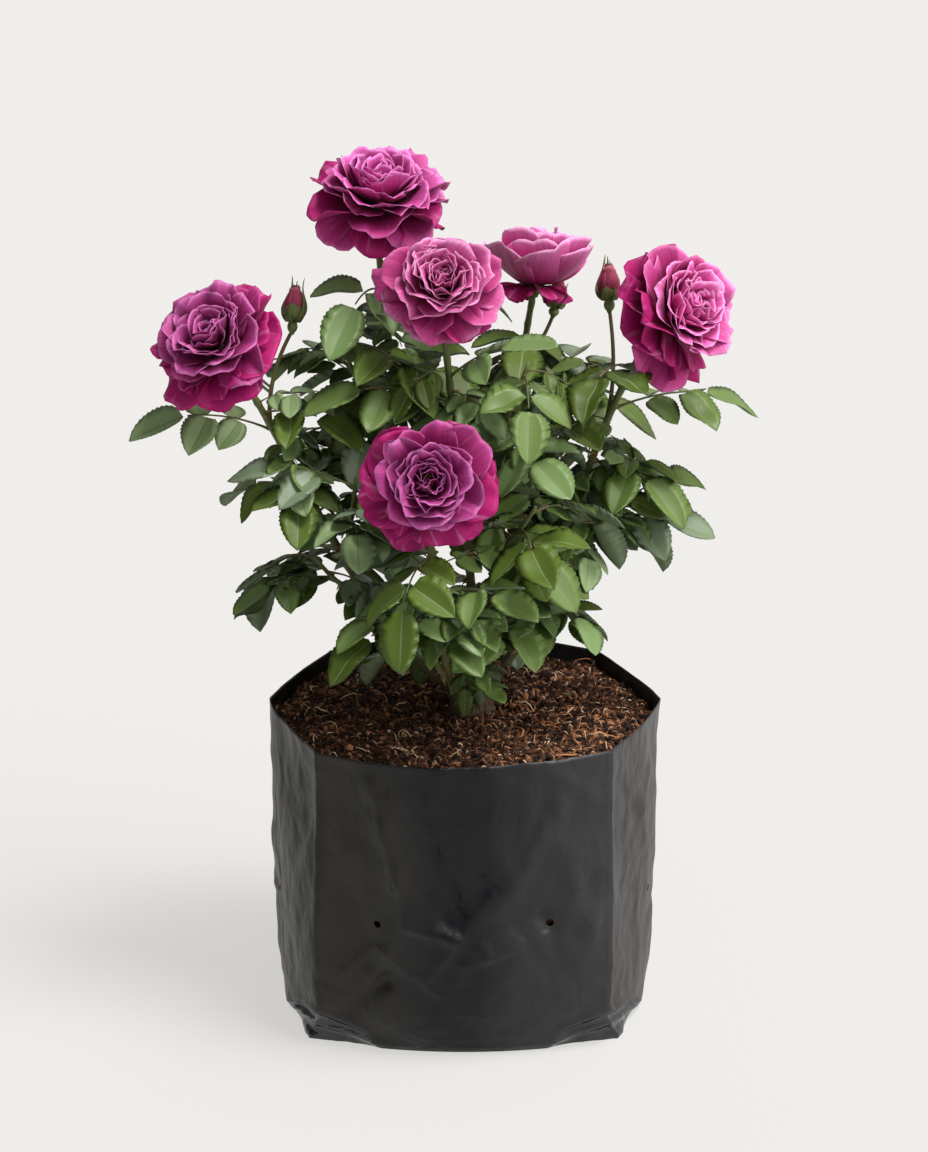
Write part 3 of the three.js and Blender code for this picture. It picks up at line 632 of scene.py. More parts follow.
# none reaches the film
ring = np.linspace(0, 4, 801)[:-1]
film = np.stack([bag_surface(ring, np.full_like(ring, up))[0][:, :2] for up in (0.94, 0.97, 1.0)])
film_reach = np.hypot(film[..., 0], film[..., 1]).min(0) - FIBRE_GAP
film_angle = np.arctan2(film[0, :, 1], film[0, :, 0])
radial = np.hypot(paths[..., 0], paths[..., 1])
room = np.interp(np.arctan2(paths[..., 1], paths[..., 0]), film_angle, film_reach, period=2 * np.pi)
paths[..., :2] *= np.minimum(1, room / np.maximum(radial, 1e-6))[..., None]
thick = (rng.uniform(0.00018, 0.00046, FIBRES) * (1 + 0.5 * (length > 0.014)))[:, None]
thick = thick * np.array([0.5, 0.95, 1, 1, 0.9, 0.4])
reddish = noise_at(middles, 14, 31)
luck = rng.uniform(0, 1, FIBRES)
near_foot = np.exp(-(((middles[:, 0] - 0.045) / 0.035) ** 2) - (((middles[:, 1] + 0.02) / 0.045) ** 2))
below = [0.085 + 0.03 * near_foot, 0.20 + 0.45 * near_foot, 0.5 + 0.4 * reddish]
slots = np.select([luck < limit for limit in below], [3, 2, 1], 0)
fibre_data = joined("fibres", tubes(paths, thick, 3, slots))
fibre_looks = {"Roughness": 0.75, "Specular IOR Level": 0.3}
fibre_finishes = loose_finishes(FIBRE_COLOURS, fibre_looks, 900, 2, (0.3, 0.0003))
placed("compost_fibres", fibre_data, fibre_finishes)

ball = bmesh.new()
bmesh.ops.create_icosphere(ball, subdivisions=1, radius=1)
ball_points = np.array([v.co for v in ball.verts])
ball_faces = np.array([[v.index for v in f.verts] for f in ball.faces])
ball.free()


def pebbles(count, sizes, seed, sink):
    """Batches of lumpy balls scattered over the heap."""
    dice = np.random.default_rng(seed)
    turns, luck = dice.uniform(0, 4, count), dice.uniform(0, 1, count)
    places = soil_points(turns, 0.95 * (1 - np.sqrt(luck)) + 0.02)
    size = dice.uniform(*sizes, (count, 1, 1)) * dice.uniform(0.6, 1.2, (count, 1, 3))
    lumps = ball_points[None] * dice.uniform(0.75, 1.2, (count, len(ball_points), 1)) * size
    places[:, 2] += size[:, 0, 2] * sink
    shift = (np.arange(count) * len(ball_points))[:, None, None]
    return places[:, None] + lumps, (ball_faces[None] + shift).reshape(-1, 3), dice


crumb_points, crumb_faces, dice = pebbles(CRUMBS, (0.0007, 0.0026), 4, 0.3)
crumb_slots = np.repeat(dice.choice([0, 1, 2], CRUMBS, p=[0.5, 0.35, 0.15]), len(ball_faces))
speck_points, speck_faces, dice = pebbles(SPECKS, (0.0005, 0.0013), 9, 0.9)
crumbs = [(crumb_points, crumb_faces, crumb_slots), (speck_points, speck_faces, 3)]
crumb_data = joined("crumbs", crumbs, False)
crumb_looks = {"Roughness": 0.9, "Specular IOR Level": 0.2}
crumb_finishes = loose_finishes(CRUMB_COLOURS, crumb_looks, 1200, 3, (0.4, 0.0004))
placed("compost_crumbs", crumb_data, crumb_finishes)

# Woody foot and canes: a knobbly grey-brown foot stands on the compost, and six canes rise from it,
# woody below and green above, with leaf scars, fine bark and hooked prickles. Each stem is one
# smooth curve, drawn as tubes from arrays.
FOOT_BASE, FOOT_NECK, FOOT_TOP = 0.015, 0.0105, 0.0092
FOOT_LEVELS = np.array([-0.006, 0.0, 0.004, 0.008, 0.012, 0.016, 0.019, 0.022, 0.0245])
STALK_RADIUS, STALK_FROM = 0.0019, 0.94
CANE_PRICKLES = 9, 0.0058  # how many, and their size
STEMS = {
    "left": [(-0.004, 0.002, 0.212), (-0.078, 0.002, 0.268), (-0.112, 0.018, 0.385), (-0.153, -0.018, 0.45)],
    "top_left": [(-0.002, 0.008, 0.218), (-0.022, 0.052, 0.3), (-0.058, 0.04, 0.445), (-0.054, 0.02, 0.527)],
    "centre": [(0.006, -0.003, 0.222), (0.01, -0.034, 0.3), (-0.01, -0.016, 0.42), (-0.014, -0.032, 0.485)],
    "front": [(0.0, -0.008, 0.212), (-0.012, -0.072, 0.232), (-0.02, -0.078, 0.315), (-0.022, -0.094, 0.381)],
    "right": [(0.012, 0.004, 0.212), (0.07, 0.022, 0.268), (0.074, 0.022, 0.395), (0.13, -0.007, 0.469)],
    "back": [(0.009, 0.009, 0.22), (0.026, 0.066, 0.3), (0.034, 0.07, 0.41), (0.047, 0.054, 0.48)],
}
# the shares of each where its leaves start and end, and its radius
STEM_SHARES = {
    "left": (0.50, 0.87, 0.0034),
    "top_left": (0.45, 0.91, 0.0033),
    "centre": (0.40, 0.80, 0.0032),
    "front": (0.42, 0.80, 0.0028),
    "right": (0.50, 0.87, 0.0035),
    "back": (0.45, 0.85, 0.0032),
}


def curve(points, shares):
    """Points of a Bezier curve of two, three or four control points."""
    layer = [np.asarray(p, float) for p in points]
    shares = np.asarray(shares, float)[..., None]
    while len(layer) > 1:
        layer = [a + (b - a) * shares for a, b in zip(layer, layer[1:])]
    return layer[0]


def bark_radii(path, radius, sides, knots, seed):
    """Radii of a limb's skin: a swelling at each leaf scar, flutes along it and fine roughness."""
    dice = np.random.default_rng(seed)
    steps = len(path)
    share = np.linspace(0, 1, steps)
    swell = np.zeros(steps)
    for place in (np.arange(knots) + dice.uniform(0.2, 0.8, knots)) / knots:
        swell += 0.22 * hump(share - place, 0.12 / knots)
    turn = 2 * np.pi * np.arange(sides) / sides
    flutes = 0.05 * np.sin(3 * turn + 4 * share[:, None]) + dice.normal(0, 0.022, (steps, sides))
    return radius[:, None] * (1 + swell[:, None] + flutes)


def prickles(path, radius, count, size, seed):
    """Paths and radii of hooked prickles standing off a limb."""
    dice = np.random.default_rng(seed)
    at = (dice.uniform(0.06, 0.94, count) * (len(path) - 2)).astype(int)
    along = unit(path[at + 1] - path[at])
    out = unit(np.cross(along, dice.normal(size=(count, 3))))
    reach = size * dice.uniform(0.6, 1.2, count)[:, None]
    root = path[at] + out * radius[at][:, None] * 0.5
    bend = root + out * (radius[at][:, None] + reach * 0.6)
    tip = bend + out * reach * 0.4 - along * reach * 0.55
    shares = np.linspace(0, 1, 5)
    paths = np.stack([curve([a, b, c], shares) for a, b, c in zip(root, bend, tip)])
    return paths, reach * 0.26 * np.array([1.35, 1, 0.62, 0.3, 0.07])


shares = np.linspace(0, 1, 9)
foot_widths = [FOOT_BASE, FOOT_BASE * 0.86, FOOT_NECK * 1.12, FOOT_TOP]
spread = np.interp(FOOT_LEVELS, [0, 0.006, 0.0144, 0.0242], foot_widths)
foot_path = np.stack([np.full(9, FOOT_PLACE.x), np.full(9, FOOT_PLACE.y), SOIL_CROWN + FOOT_LEVELS], 1)
turn = 2 * np.pi * np.arange(40) / 40
rise = shares[:, None]
knobs = 1 + 0.09 * np.sin(3 * turn + 2 * rise) + 0.06 * np.sin(7 * turn + 5 * rise)
dice = np.random.default_rng(3)
foot_radii = spread[:, None] * (knobs + dice.normal(0, 0.02, knobs.shape))
woody = tubes(foot_path[None], foot_radii[None], 40, 0)
for number, (name, route) in enumerate(STEMS.items()):
    bare, _, radius = STEM_SHARES[name]
    path = curve(route, np.linspace(0, bare, 56))
    thick = np.linspace(radius, radius + (STALK_RADIUS - radius) * bare, 56)
    woody += tubes(path[None], bark_radii(path, thick, 14, 4, number)[None], 14, 1)
    woody += tubes(*prickles(path, thick, *CANE_PRICKLES, number + 40), 6, 2)


def old_bark(start):
    flakes = grain(start, 420, 6, 0.7, (1, 1, 0.35))
    colour = flakes.ramp(
        (0.3, (0.035, 0.022, 0.014)), (0.55, (0.13, 0.09, 0.055)), (0.75, (0.26, 0.20, 0.13))
    )
    return {"Base Color": colour, "Roughness": 0.95 - 0.2 * flakes, "Normal": flakes.bump(0.9, 0.0015)}


def cane_bark(start):
    up = start.make("SeparateXYZ", {0: start.make("TexCoord", output=3)}, 2)
    patches = grain(start, 95, 4, 0.6, (1, 1, 0.4))
    fine = grain(start, 900, 3, 0.6, (1, 1, 0.3))
    green = patches.ramp((0.35, (0.070, 0.085, 0.022)), (0.65, (0.115, 0.125, 0.038)))
    brown = fine.ramp((0.35, (0.050, 0.028, 0.016)), (0.7, (0.150, 0.100, 0.055)))
    woodiness = (up + 0.06 * patches).level(0.235, 0.305, 1.0, 0.12)
    return {
        "Base Color": woodiness.mix(green, brown),
        "Roughness": 0.5 + 0.25 * fine,
        "Normal": fine.bump(0.5, 0.0006),
    }


def mottled(name, shine, least, stops, *how):
    """A finish with its colour by one noise, and its roughness from the least to 0.2 more."""

    def patterns(start):
        patches = grain(start, *how)
        return {"Base Color": patches.ramp(*stops), "Roughness": least + 0.2 * patches}

    return finish(name, {"Specular IOR Level": shine}, patterns)


thorn_stops = (0.3, (0.16, 0.045, 0.02)), (0.7, (0.30, 0.16, 0.07))
wood_finishes = [
    finish("old_bark", {"Specular IOR Level": 0.25}, old_bark),
    finish("cane_bark", {"Specular IOR Level": 0.4}, cane_bark),
    mottled("thorn", 0.45, 0.4, thorn_stops, 300, 2),
]
wood_nodes = ["woody_foot"] + [f"cane_{name}" for name in STEMS]
placed("foot_and_canes", joined("wood", woody), wood_finishes, wood_nodes)

# Leafy shoots: the upper part of each stem and the side shoots that spring from it, green to
# reddish, with small prickles. Ribs and finer twigs join them as the leaves are grown.
MASSES = {
    # stem, leaves, turn of the first, seed, and for a side shoot where it springs and its tip
    "left": ("left", 7, 0, 453),
    "right": ("right", 7, 180, 548),
    "top_left": ("top_left", 7, 240, 908),
    "centre": ("centre", 6, 0, 869),
    "back": ("back", 6, 300, 150),
    "front": ("front", 5, 60, 987),
    "low_left": ("left", 4, 60, 321, 0.30, (-0.097, -0.005, 0.309)),
    "low_right": ("right", 4, 300, 130, 0.24, (0.061, -0.018, 0.274)),
    "inner_left": ("left", 4, 120, 786, 0.42, (-0.068, -0.045, 0.373)),
    "inner_right": ("centre", 4, 0, 910, 0.32, (0.045, -0.053, 0.357)),
    "far_right": ("right", 4, 300, 647, 0.42, (0.092, -0.030, 0.344)),
    "upper_left": ("top_left", 4, 240, 49, 0.50, (-0.081, 0.013, 0.454)),
    "middle": ("centre", 4, 240, 477, 0.52, (0.040, -0.034, 0.445)),
    "front_left": ("front", 4, 0, 765, 0.24, (-0.029, -0.079, 0.299)),
    "front_foot": ("front", 4, 300, 272, 0.12, (0.007, -0.044, 0.256)),
    "back_left": ("top_left", 4, 240, 13, 0.28, (-0.058, 0.099, 0.354)),
    "back_right": ("back", 4, 120, 589, 0.30, (0.097, 0.088, 0.323)),
    "back_low": ("back", 4, 240, 437, 0.14, (0.016, 0.093, 0.257)),
}
SIDE_RADII = 0.0022, 0.0012
SHOOT_PRICKLES = 5, 0.0042
SMALL_LEAVES = {"front_foot": 0.62}
GOLDEN = 137.5
SAME_PLACE = 1e-4
TRIES = [0, 20, -20, 40, -40, 60, -60]
FINER, LEAF_REACH, FLOWER_ROOM = 0.72, (0.002, 0.011), 0.016
RIB_LENGTH, RIB_SHORT = 0.056, 0.75
RIB_TAPER = [1.9, 1.25, 1, 0.95, 0.9, 0.86, 0.82, 0.78, 0.74]
LEAFLET = {"length": 0.037, "width": 0.026, "splay": 64, "dip": 14, "tip": 1.05, "droop": 0.12}
ONE_PAIR = [(0.56, 0.90)]
TWO_PAIRS = [(0.40, 0.74), (0.76, 0.92)]
UP = np.array([0.0, 0.0, 1.0])


def chance(seed):
    """The rule's own repeatable run of numbers from 0 to 1."""
    full = 0xFFFFFFFF

    def draw():
        nonlocal seed
        seed = (seed + 0x6D2B79F5) & full
        t = ((seed ^ (seed >> 15)) * (seed | 1)) & full
        t ^= (t + (((t ^ (t >> 7)) * (t | 61)) & full)) & full
        return ((t ^ (t >> 14)) & full) / 4294967296

    return draw


def turned(vector, axis, degrees):
    return np.array(Matrix.Rotation(math.radians(degrees), 3, Vector(axis)) @ Vector(vector))


def leaf_plan(root, turn, scale, draw):
    """The draws of one compound leaf, in the rule's order."""
    plan = {"root": np.array(root), "turn": turn, "size": scale * (0.85 + 0.27 * draw())}
    plan["rise"] = 45 * draw()
    plan["droop"] = 20 + 50 * draw()
    plan["roll"] = -25 + 50 * draw()
    plan["pairs"] = ONE_PAIR if draw() < 0.25 else TWO_PAIRS
    return plan


def leaf_shape(plan, turn):
    """A leaf's rib, and the frame of each of its blades: root, along, across, face and scale."""
    out = np.array([math.cos(math.radians(turn)), math.sin(math.radians(turn)), 0])
    half = RIB_LENGTH * plan["size"] * (RIB_SHORT if plan["pairs"] is ONE_PAIR else 1) / 2

    def heading(angle):
        return out * math.cos(math.radians(angle)) + UP * math.sin(math.radians(angle))

    bend = plan["root"] + heading(plan["rise"]) * half
    end = bend + heading(plan["rise"] - plan["droop"]) * half
    rib = [plan["root"], bend, end]
    blades = []
    splay = LEAFLET["splay"]
    places = [(share, turn, scale) for share, scale in plan["pairs"] for turn in (splay, -splay)]
    for share, sideways, scale in places + [(1, 0, LEAFLET["tip"])]:
        along = unit((bend - rib[0]) * (1 - share) + (end - bend) * share)
        left = turned(unit(np.cross(UP, along)), along, plan["roll"])
        face = np.cross(along, left)
        along = turned(along, face, sideways)
        across = np.cross(face, along)
        face = turned(face, across, LEAFLET["dip"])
        along = turned(along, across, LEAFLET["dip"])
        blades.append((curve(rib, share), along, across, face, plan["size"] * scale))
    return rib, blades


def blade_tips(blades):
    return [
        Vector(root + (along - face * LEAFLET["droop"]) * LEAFLET["length"] * scale)
        for root, along, across, face, scale in blades
    ]


def kd_tree(points):
    tree = KDTree(len(points))
    for i, p in enumerate(points):
        tree.insert(p, i)
    tree.balance()
    return tree


def node_points(name):
    return [v.co.copy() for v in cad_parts[name].data.vertices]


crown = kd_tree([p for name in MASSES for p in node_points(f"foliage_{name}")])
flower_nodes = [f"bloom_{name}" for name in STEMS] + ["bud_left", "bud_right", "bud_back"]
flowers = kd_tree([p for name in flower_nodes for p in node_points(name)])
shoots, leaves, ribs = [], [], []


def grow(plan, fits):
    """A leaf grows at the first turn from its plan where its blades' tips fit."""
    for offset in TRIES:
        rib, blades = leaf_shape(plan, plan["turn"] + offset)
        if fits(blade_tips(blades)):
            leaves.append(blades)
            ribs.append((rib, plan["size"]))
            break


def fits_between(tips):
    near = all(LEAF_REACH[0] < crown.find(tip)[2] < LEAF_REACH[1] for tip in tips)
    return near and all(flowers.find(tip)[2] > FLOWER_ROOM for tip in tips)


for number, (name, (stem, count, first, seed, *side)) in enumerate(MASSES.items()):
    route, (bare, leafy, radius) = STEMS[stem], STEM_SHARES[stem]
    if side:
        root, tip = curve(route, side[0]), np.array(side[1])
        route = [root, root + (tip - root) * (0.6, 0.6, 0.3), tip]
        start, end = 0.25, 1.0
        path = curve(route, np.linspace(0, 1, 30))
        thick = np.linspace(*SIDE_RADII, 30)
    else:
        start, end = bare, leafy
        path = curve(route, np.linspace(bare, STALK_FROM + 0.01, 40))
        thick = np.linspace(*(radius + (STALK_RADIUS - radius) * np.array([bare, STALK_FROM])), 40)
    shoots += tubes(path[None], bark_radii(path, thick, 10, count + 1, number + 9)[None], 10, 0)
    shoots += tubes(*prickles(path, thick, *SHOOT_PRICKLES, number + 90), 5, 2)
    tree = kd_tree(node_points(f"foliage_{name}"))
    draw = chance(seed)
    scale = SMALL_LEAVES.get(name, 1)
    # the leaves of the rule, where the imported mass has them
    for i in range(count):
        at = start + (end - start) * (i + 0.6) / count
        plan = leaf_plan(curve(route, at), first + i * GOLDEN, scale, draw)
        grow(plan, lambda tips: all(tree.find(tip)[2] < SAME_PLACE for tip in tips))
    # finer leaves between them, on short twigs, inside the same reach
    for i in range(3 * count):
        at = start + (end - start) * (i + 0.25) / (3 * count)
        plan = leaf_plan(curve(route, at), first + 61 + i * GOLDEN, scale * FINER, draw)
        grow(plan, fits_between)

rib_paths = np.stack([curve(rib, np.linspace(0, 1, 9)) for rib, _ in ribs])
rib_sizes = np.array([size for _, size in ribs])[:, None]
shoots += tubes(rib_paths, 0.00068 * rib_sizes * np.array(RIB_TAPER), 6, 1)


def shoot_patterns(start):
    patches = grain(start, 130, 4, 0.6, (1, 1, 0.5))
    colour = patches.ramp(
        (0.36, (0.085, 0.115, 0.028)), (0.55, (0.140, 0.160, 0.050)), (0.72, (0.150, 0.085, 0.040))
    )
    fine = grain(start, 1100, 2, 0.5)
    return {"Base Color": colour, "Roughness": 0.42 + 0.2 * fine, "Normal": fine.bump(0.3, 0.0004)}


rib_stops = (0.4, (0.090, 0.130, 0.038)), (0.66, (0.170, 0.105, 0.050))
shoot_finishes = [
    finish("green_shoot", {"Specular IOR Level": 0.4}, shoot_patterns),
    mottled("leaf_rib", 0.4, 0.45, rib_stops, 60, 3, 0.6),
    wood_finishes[2],
]
foliage_nodes = [f"foliage_{name}" for name in MASSES]
placed("leafy_shoots", joined("shoots", shoots), shoot_finishes, foliage_nodes)

# Leaves: each blade is a thin closed shell in its own saw-toothed outline, folded a little along a
# pale midrib, quilted between its veins and drooping towards its tip. Greens are dealt leaf by leaf.
# The leaves that spring below a height are one piece and the others another.
BLADE_ROWS = 11
LEAF_FLOOR, LEAF_SPLIT = 0.2065, 0.345
rows = np.linspace(0.03, 1, BLADE_ROWS + 1)
profile = rows**0.60 * (1.003 - rows) ** 0.74
profile /= profile.max()
notch_at = rows[:-1] + 0.45 / BLADE_ROWS + 0.065 * (1 - rows[:-1])
notch_out = 0.93 * np.interp(notch_at, rows, profile)
quilt = np.where(np.arange(BLADE_ROWS + 1) % 2, 1.0, -1.0)


def blade_template():
    """One blade's points (forward, side in half widths, half width and kind), and its faces."""
    at, side, kind = [], [], []
    for r, t in enumerate(rows):
        # left margin, left vein, midrib's two edges, right vein, right margin, underside's midrib
        veer = 0.05 * (1 - t)
        at += [t + 1.3 * veer, t + veer, t, t, t + veer, t + 1.3 * veer, t]
        side += [-1, -0.5, -0.04, 0.04, 0.5, 1, 0]
        kind += [0, 1, 2, 2, 1, 0, 3]
    base = len(at)
    for t in notch_at:
        at += [t, t]
        side += [-1, 1]
        kind += [0, 0]
    out = np.interp(at, rows, profile)
    out[base:] = np.repeat(notch_out, 2)
    out = np.maximum(out, 0.035)
    # by how many corners a face has: 0 is the green upper side, 1 the underside, 2 the midrib
    groups = {5: [], 4: [], 7: []}
    for r in range(BLADE_ROWS):
        a, b = 7 * r, 7 * (r + 1)
        left, right = base + 2 * r, base + 2 * r + 1
        groups[5] += [
            ((a + 1, b + 1, b, left, a), 0),
            ((a + 4, a + 5, right, b + 5, b + 4), 0),
            ((a + 6, a, left, b, b + 6), 1),
            ((a + 6, b + 6, b + 5, right, a + 5), 1),
        ]
        groups[4] += [
            ((a + 1, a + 2, b + 2, b + 1), 0),
            ((a + 2, a + 3, b + 3, b + 2), 2),
            ((a + 3, a + 4, b + 4, b + 3), 0),
        ]
    last = 7 * BLADE_ROWS
    groups[7] += [((6, 5, 4, 3, 2, 1, 0), 1), (tuple(range(last, last + 7)), 1)]
    faces = [[np.array(part) for part in zip(*group)] for group in groups.values()]
    return np.array(at), np.array(side), out, np.array(kind), faces


blade_at, blade_side, blade_out, blade_kind, blade_faces = blade_template()
row_of = np.clip(np.round((blade_at - 0.03) / 0.97 * BLADE_ROWS), 0, BLADE_ROWS).astype(int)
GREENS = {
    "leaf_deep": (0.062, 0.098, 0.012),
    "leaf_dark": (0.088, 0.136, 0.020),
    "leaf_mid": (0.118, 0.184, 0.042),
    "leaf_fresh": (0.148, 0.232, 0.076),
    "leaf_light": (0.215, 0.308, 0.132),
    "leaf_grey": (0.166, 0.222, 0.132),
}
leaf_batches = {"lower": [], "upper": []}
dice = np.random.default_rng(12)
for blades in leaves:
    tone = int(dice.choice(len(GREENS), p=[0.2, 0.26, 0.24, 0.14, 0.07, 0.09]))
    for root, along, across, face, scale in blades:
        length = LEAFLET["length"] * scale * dice.uniform(0.97, 1.05)
        width = LEAFLET["width"] * scale * dice.uniform(0.92, 1.02) * 0.5
        fold = dice.uniform(0.06, 0.30)
        droop = LEAFLET["droop"] * dice.uniform(0.5, 1.5)
        sway = dice.normal(0, 0.05)
        wave = dice.normal(0, 0.04, 3)
        reach = blade_out * np.abs(blade_side)
        lift = fold * reach - 0.055 * np.sin(np.pi * blade_at)
        lift = lift * width * 2 - droop * length * blade_at**2.4
        lift += width * (wave[0] * np.sin(9 * blade_at) + wave[1] * blade_side * np.sin(7 * blade_at + 1))
        lift += np.where(blade_kind == 1, (0.0005 + 0.0003 * quilt[row_of]) * (1 - 0.8 * blade_at), 0)
        lift += np.where(blade_kind == 2, 0.00008, 0) - np.where(blade_kind == 3, 0.00032, 0)
        forward = (0.04 + 0.96 * blade_at) * length
        side = blade_side * blade_out * width + sway * length * blade_at**2
        points = root + forward[:, None] * along + side[:, None] * across + lift[:, None] * face
        points[:, 2] = np.maximum(points[:, 2], LEAF_FLOOR)
        half = "lower" if root[2] < LEAF_SPLIT else "upper"
        back = 0
        for faces, kinds in blade_faces:
            # the points go in with the first faces, and later ones count back to them
            slots = np.where(kinds == 0, tone, len(GREENS) + kinds - 1)
            leaf_batches[half].append((points, faces - back, slots))
            points, back = points[:0], len(blade_at)


def leaf_finish(name, colour, rough, shine):
    """A plain green, with fine relief and uneven gloss that has no place of its own."""

    def patterns(start):
        fine = grain(start, 1300, 3, 0.6)
        cloudy = grain(start, 55, 3, 0.5)
        return {"Roughness": rough + 0.16 * cloudy, "Normal": fine.bump(0.35, 0.0003)}

    constants = {"Base Color": rgba(*colour), "Specular IOR Level": shine}
    return finish(name, constants, patterns)


leaf_finishes = [
    leaf_finish(name, colour, 0.34, 0.26 if name in ("leaf_deep", "leaf_dark") else 0.40)
    for name, colour in GREENS.items()
]
leaf_finishes.append(leaf_finish("leaf_underside", (0.135, 0.180, 0.098), 0.62, 0.25))
leaf_finishes.append(leaf_finish("leaf_midrib", (0.150, 0.205, 0.085), 0.45, 0.35))
for half, batches in leaf_batches.items():
    placed(f"leaves_{half}", joined(f"leaves_{half}", batches), leaf_finishes, foliage_nodes)

# Blooms: some fifty to sixty petals each, from the broad guard petals that hang below to the small
# # folded ones at the heart. A petal is a thin closed shell, cupped round the bloom's axis, with a
# # ruffled rim. Its colour runs from a deep claw darkened with painted shade to a pale rim that is partly a
# painted highlight; guards are magenta with pale streaks.
BLOOMS = {
    # facing, width, lift above the stem's end, how open it is, how broad its petals are, its
    #     # guards' bend back, the side they hang on, how far round they go in degrees, how dark they
    #     # are, and the bloom's tint in red, green and blue
    # each tint is partly the bloom's own colour and partly painted light and shade, lightest on the shaded
    # bloom behind
    "left": ((-0.35, -0.65, 0.67), 0.086, 0.001, 0.97, 1.0, 6, (0.5, 0, -1), 290, 0.9, (0.74, 0.58, 0.82)),
    "top_left": ((0.08, -0.3, 0.95), 0.089, 0.006, 0.92, 1.0, 10, (0, -1, 0), 360, 1.0, (1.04, 0.9, 1.2)),
    "centre": ((0.03, -0.76, 0.65), 0.077, 0.006, 0.88, 1.05, 4, (0, 0, -1), 250, 0.75, (1.06, 1.12, 1.14)),
    "front": ((0.04, -0.93, 0.37), 0.088, 0.003, 0.8, 0.95, 2, (0, 0, -1), 300, 1.2, (0.72, 0.54, 0.82)),
    "right": ((0.66, -0.6, 0.46), 0.09, 0.0, 0.82, 1.05, 6, (-0.9, 0, -0.4), 240, 1.1, (1.26, 1.24, 1.38)),
    "back": ((0.04, 0.16, 0.98), 0.067, -0.003, 1.0, 1.0, 0, (0, -1, 0), 360, 1.0, (1.24, 1.48, 1.4)),
}
WHORLS = [
    # petals, length and width in bloom widths, tilt at claw and rim, root out and up, cup, roll,
    # ruffle, tone (1 for guards, 0 for the heart)
    (5, 0.48, 0.58, (72, 102), (0.07, -0.01), 0.62, 10, 0.044, 1.00),
    (6, 0.46, 0.46, (66, 84), (0.07, 0.01), 0.50, 20, 0.046, 0.84),
    (7, 0.42, 0.42, (64, 58), (0.06, 0.03), 0.36, 44, 0.036, 0.50),
    (8, 0.39, 0.35, (58, 38), (0.05, 0.05), 0.29, 50, 0.038, 0.36),
    (8, 0.36, 0.32, (50, 20), (0.045, 0.06), 0.24, 48, 0.040, 0.26),
    (7, 0.33, 0.30, (40, 6), (0.04, 0.07), 0.19, 44, 0.042, 0.18),
    (6, 0.29, 0.27, (30, -6), (0.03, 0.08), 0.15, 40, 0.044, 0.12),
    (5, 0.25, 0.24, (20, -12), (0.02, 0.08), 0.11, 34, 0.044, 0.06),
    (4, 0.20, 0.19, (10, -18), (0.012, 0.08), 0.08, 24, 0.040, 0.02),
]
# the highest is a dome: its guards hang in a bunch under wide level petals
DOME_WHORLS = [
    (7, 0.46, 0.42, (84, 134), (0.06, -0.02), 0.36, 14, 0.060, 1.00),
    (6, 0.48, 0.46, (72, 92), (0.07, 0.00), 0.50, 20, 0.050, 0.88),
    (6, 0.45, 0.42, (68, 78), (0.065, 0.02), 0.42, 34, 0.042, 0.62),
    *WHORLS[2:],
]
# the one behind is still a deep cup of some forty petals, broad ones over a few small bent ones
CUP_WHORLS = [
    (6, 0.33, 0.36, (96, 150), (0.07, -0.03), 0.40, 10, 0.050, 1.00),
    (5, 0.66, 0.72, (78, 16), (0.07, -0.02), 0.50, 22, 0.016, 0.40),
    (5, 0.66, 0.62, (64, 8), (0.06, -0.01), 0.42, 26, 0.018, 0.24),
    (7, 0.60, 0.48, (50, 2), (0.05, 0.02), 0.33, 22, 0.024, 0.18),
    (7, 0.54, 0.38, (38, -4), (0.04, 0.04), 0.26, 20, 0.028, 0.14),
    (7, 0.46, 0.30, (28, -8), (0.03, 0.06), 0.19, 20, 0.030, 0.10),
    (6, 0.38, 0.24, (18, -12), (0.02, 0.08), 0.13, 20, 0.030, 0.04),
]
PETAL_ROWS, PETAL_COLUMNS = 13, 11
PETAL_THICKNESS = 0.00042
STAMENS, STAMEN_RADIUS = 26, 0.0002
ANTHER_RADII = [0.0001, 0.0005, 0.0006, 0.0005, 0.0001]
fine = np.linspace(0, 1, 33)


def blade_grid(n_rows, n_columns):
    """The ways along and across a petal or sepal, 0 to 1 and -1 to 1, at each point of its grid."""
    return np.meshgrid(np.linspace(0, 1, n_rows), np.linspace(-1, 1, n_columns), indexing="ij")


v_grid, u_grid = blade_grid(PETAL_ROWS, PETAL_COLUMNS)


def spine(tilts, length, root):
    """The tilts of a petal's or sepal's middle line in radians, and how far out and up it is."""
    angle = np.radians(tilts)
    out = root[0] + np.append(0, np.cumsum(np.sin(angle[:-1]))) * length / 32
    up = root[1] + np.append(0, np.cumsum(np.cos(angle[:-1]))) * length / 32
    return angle, out, up


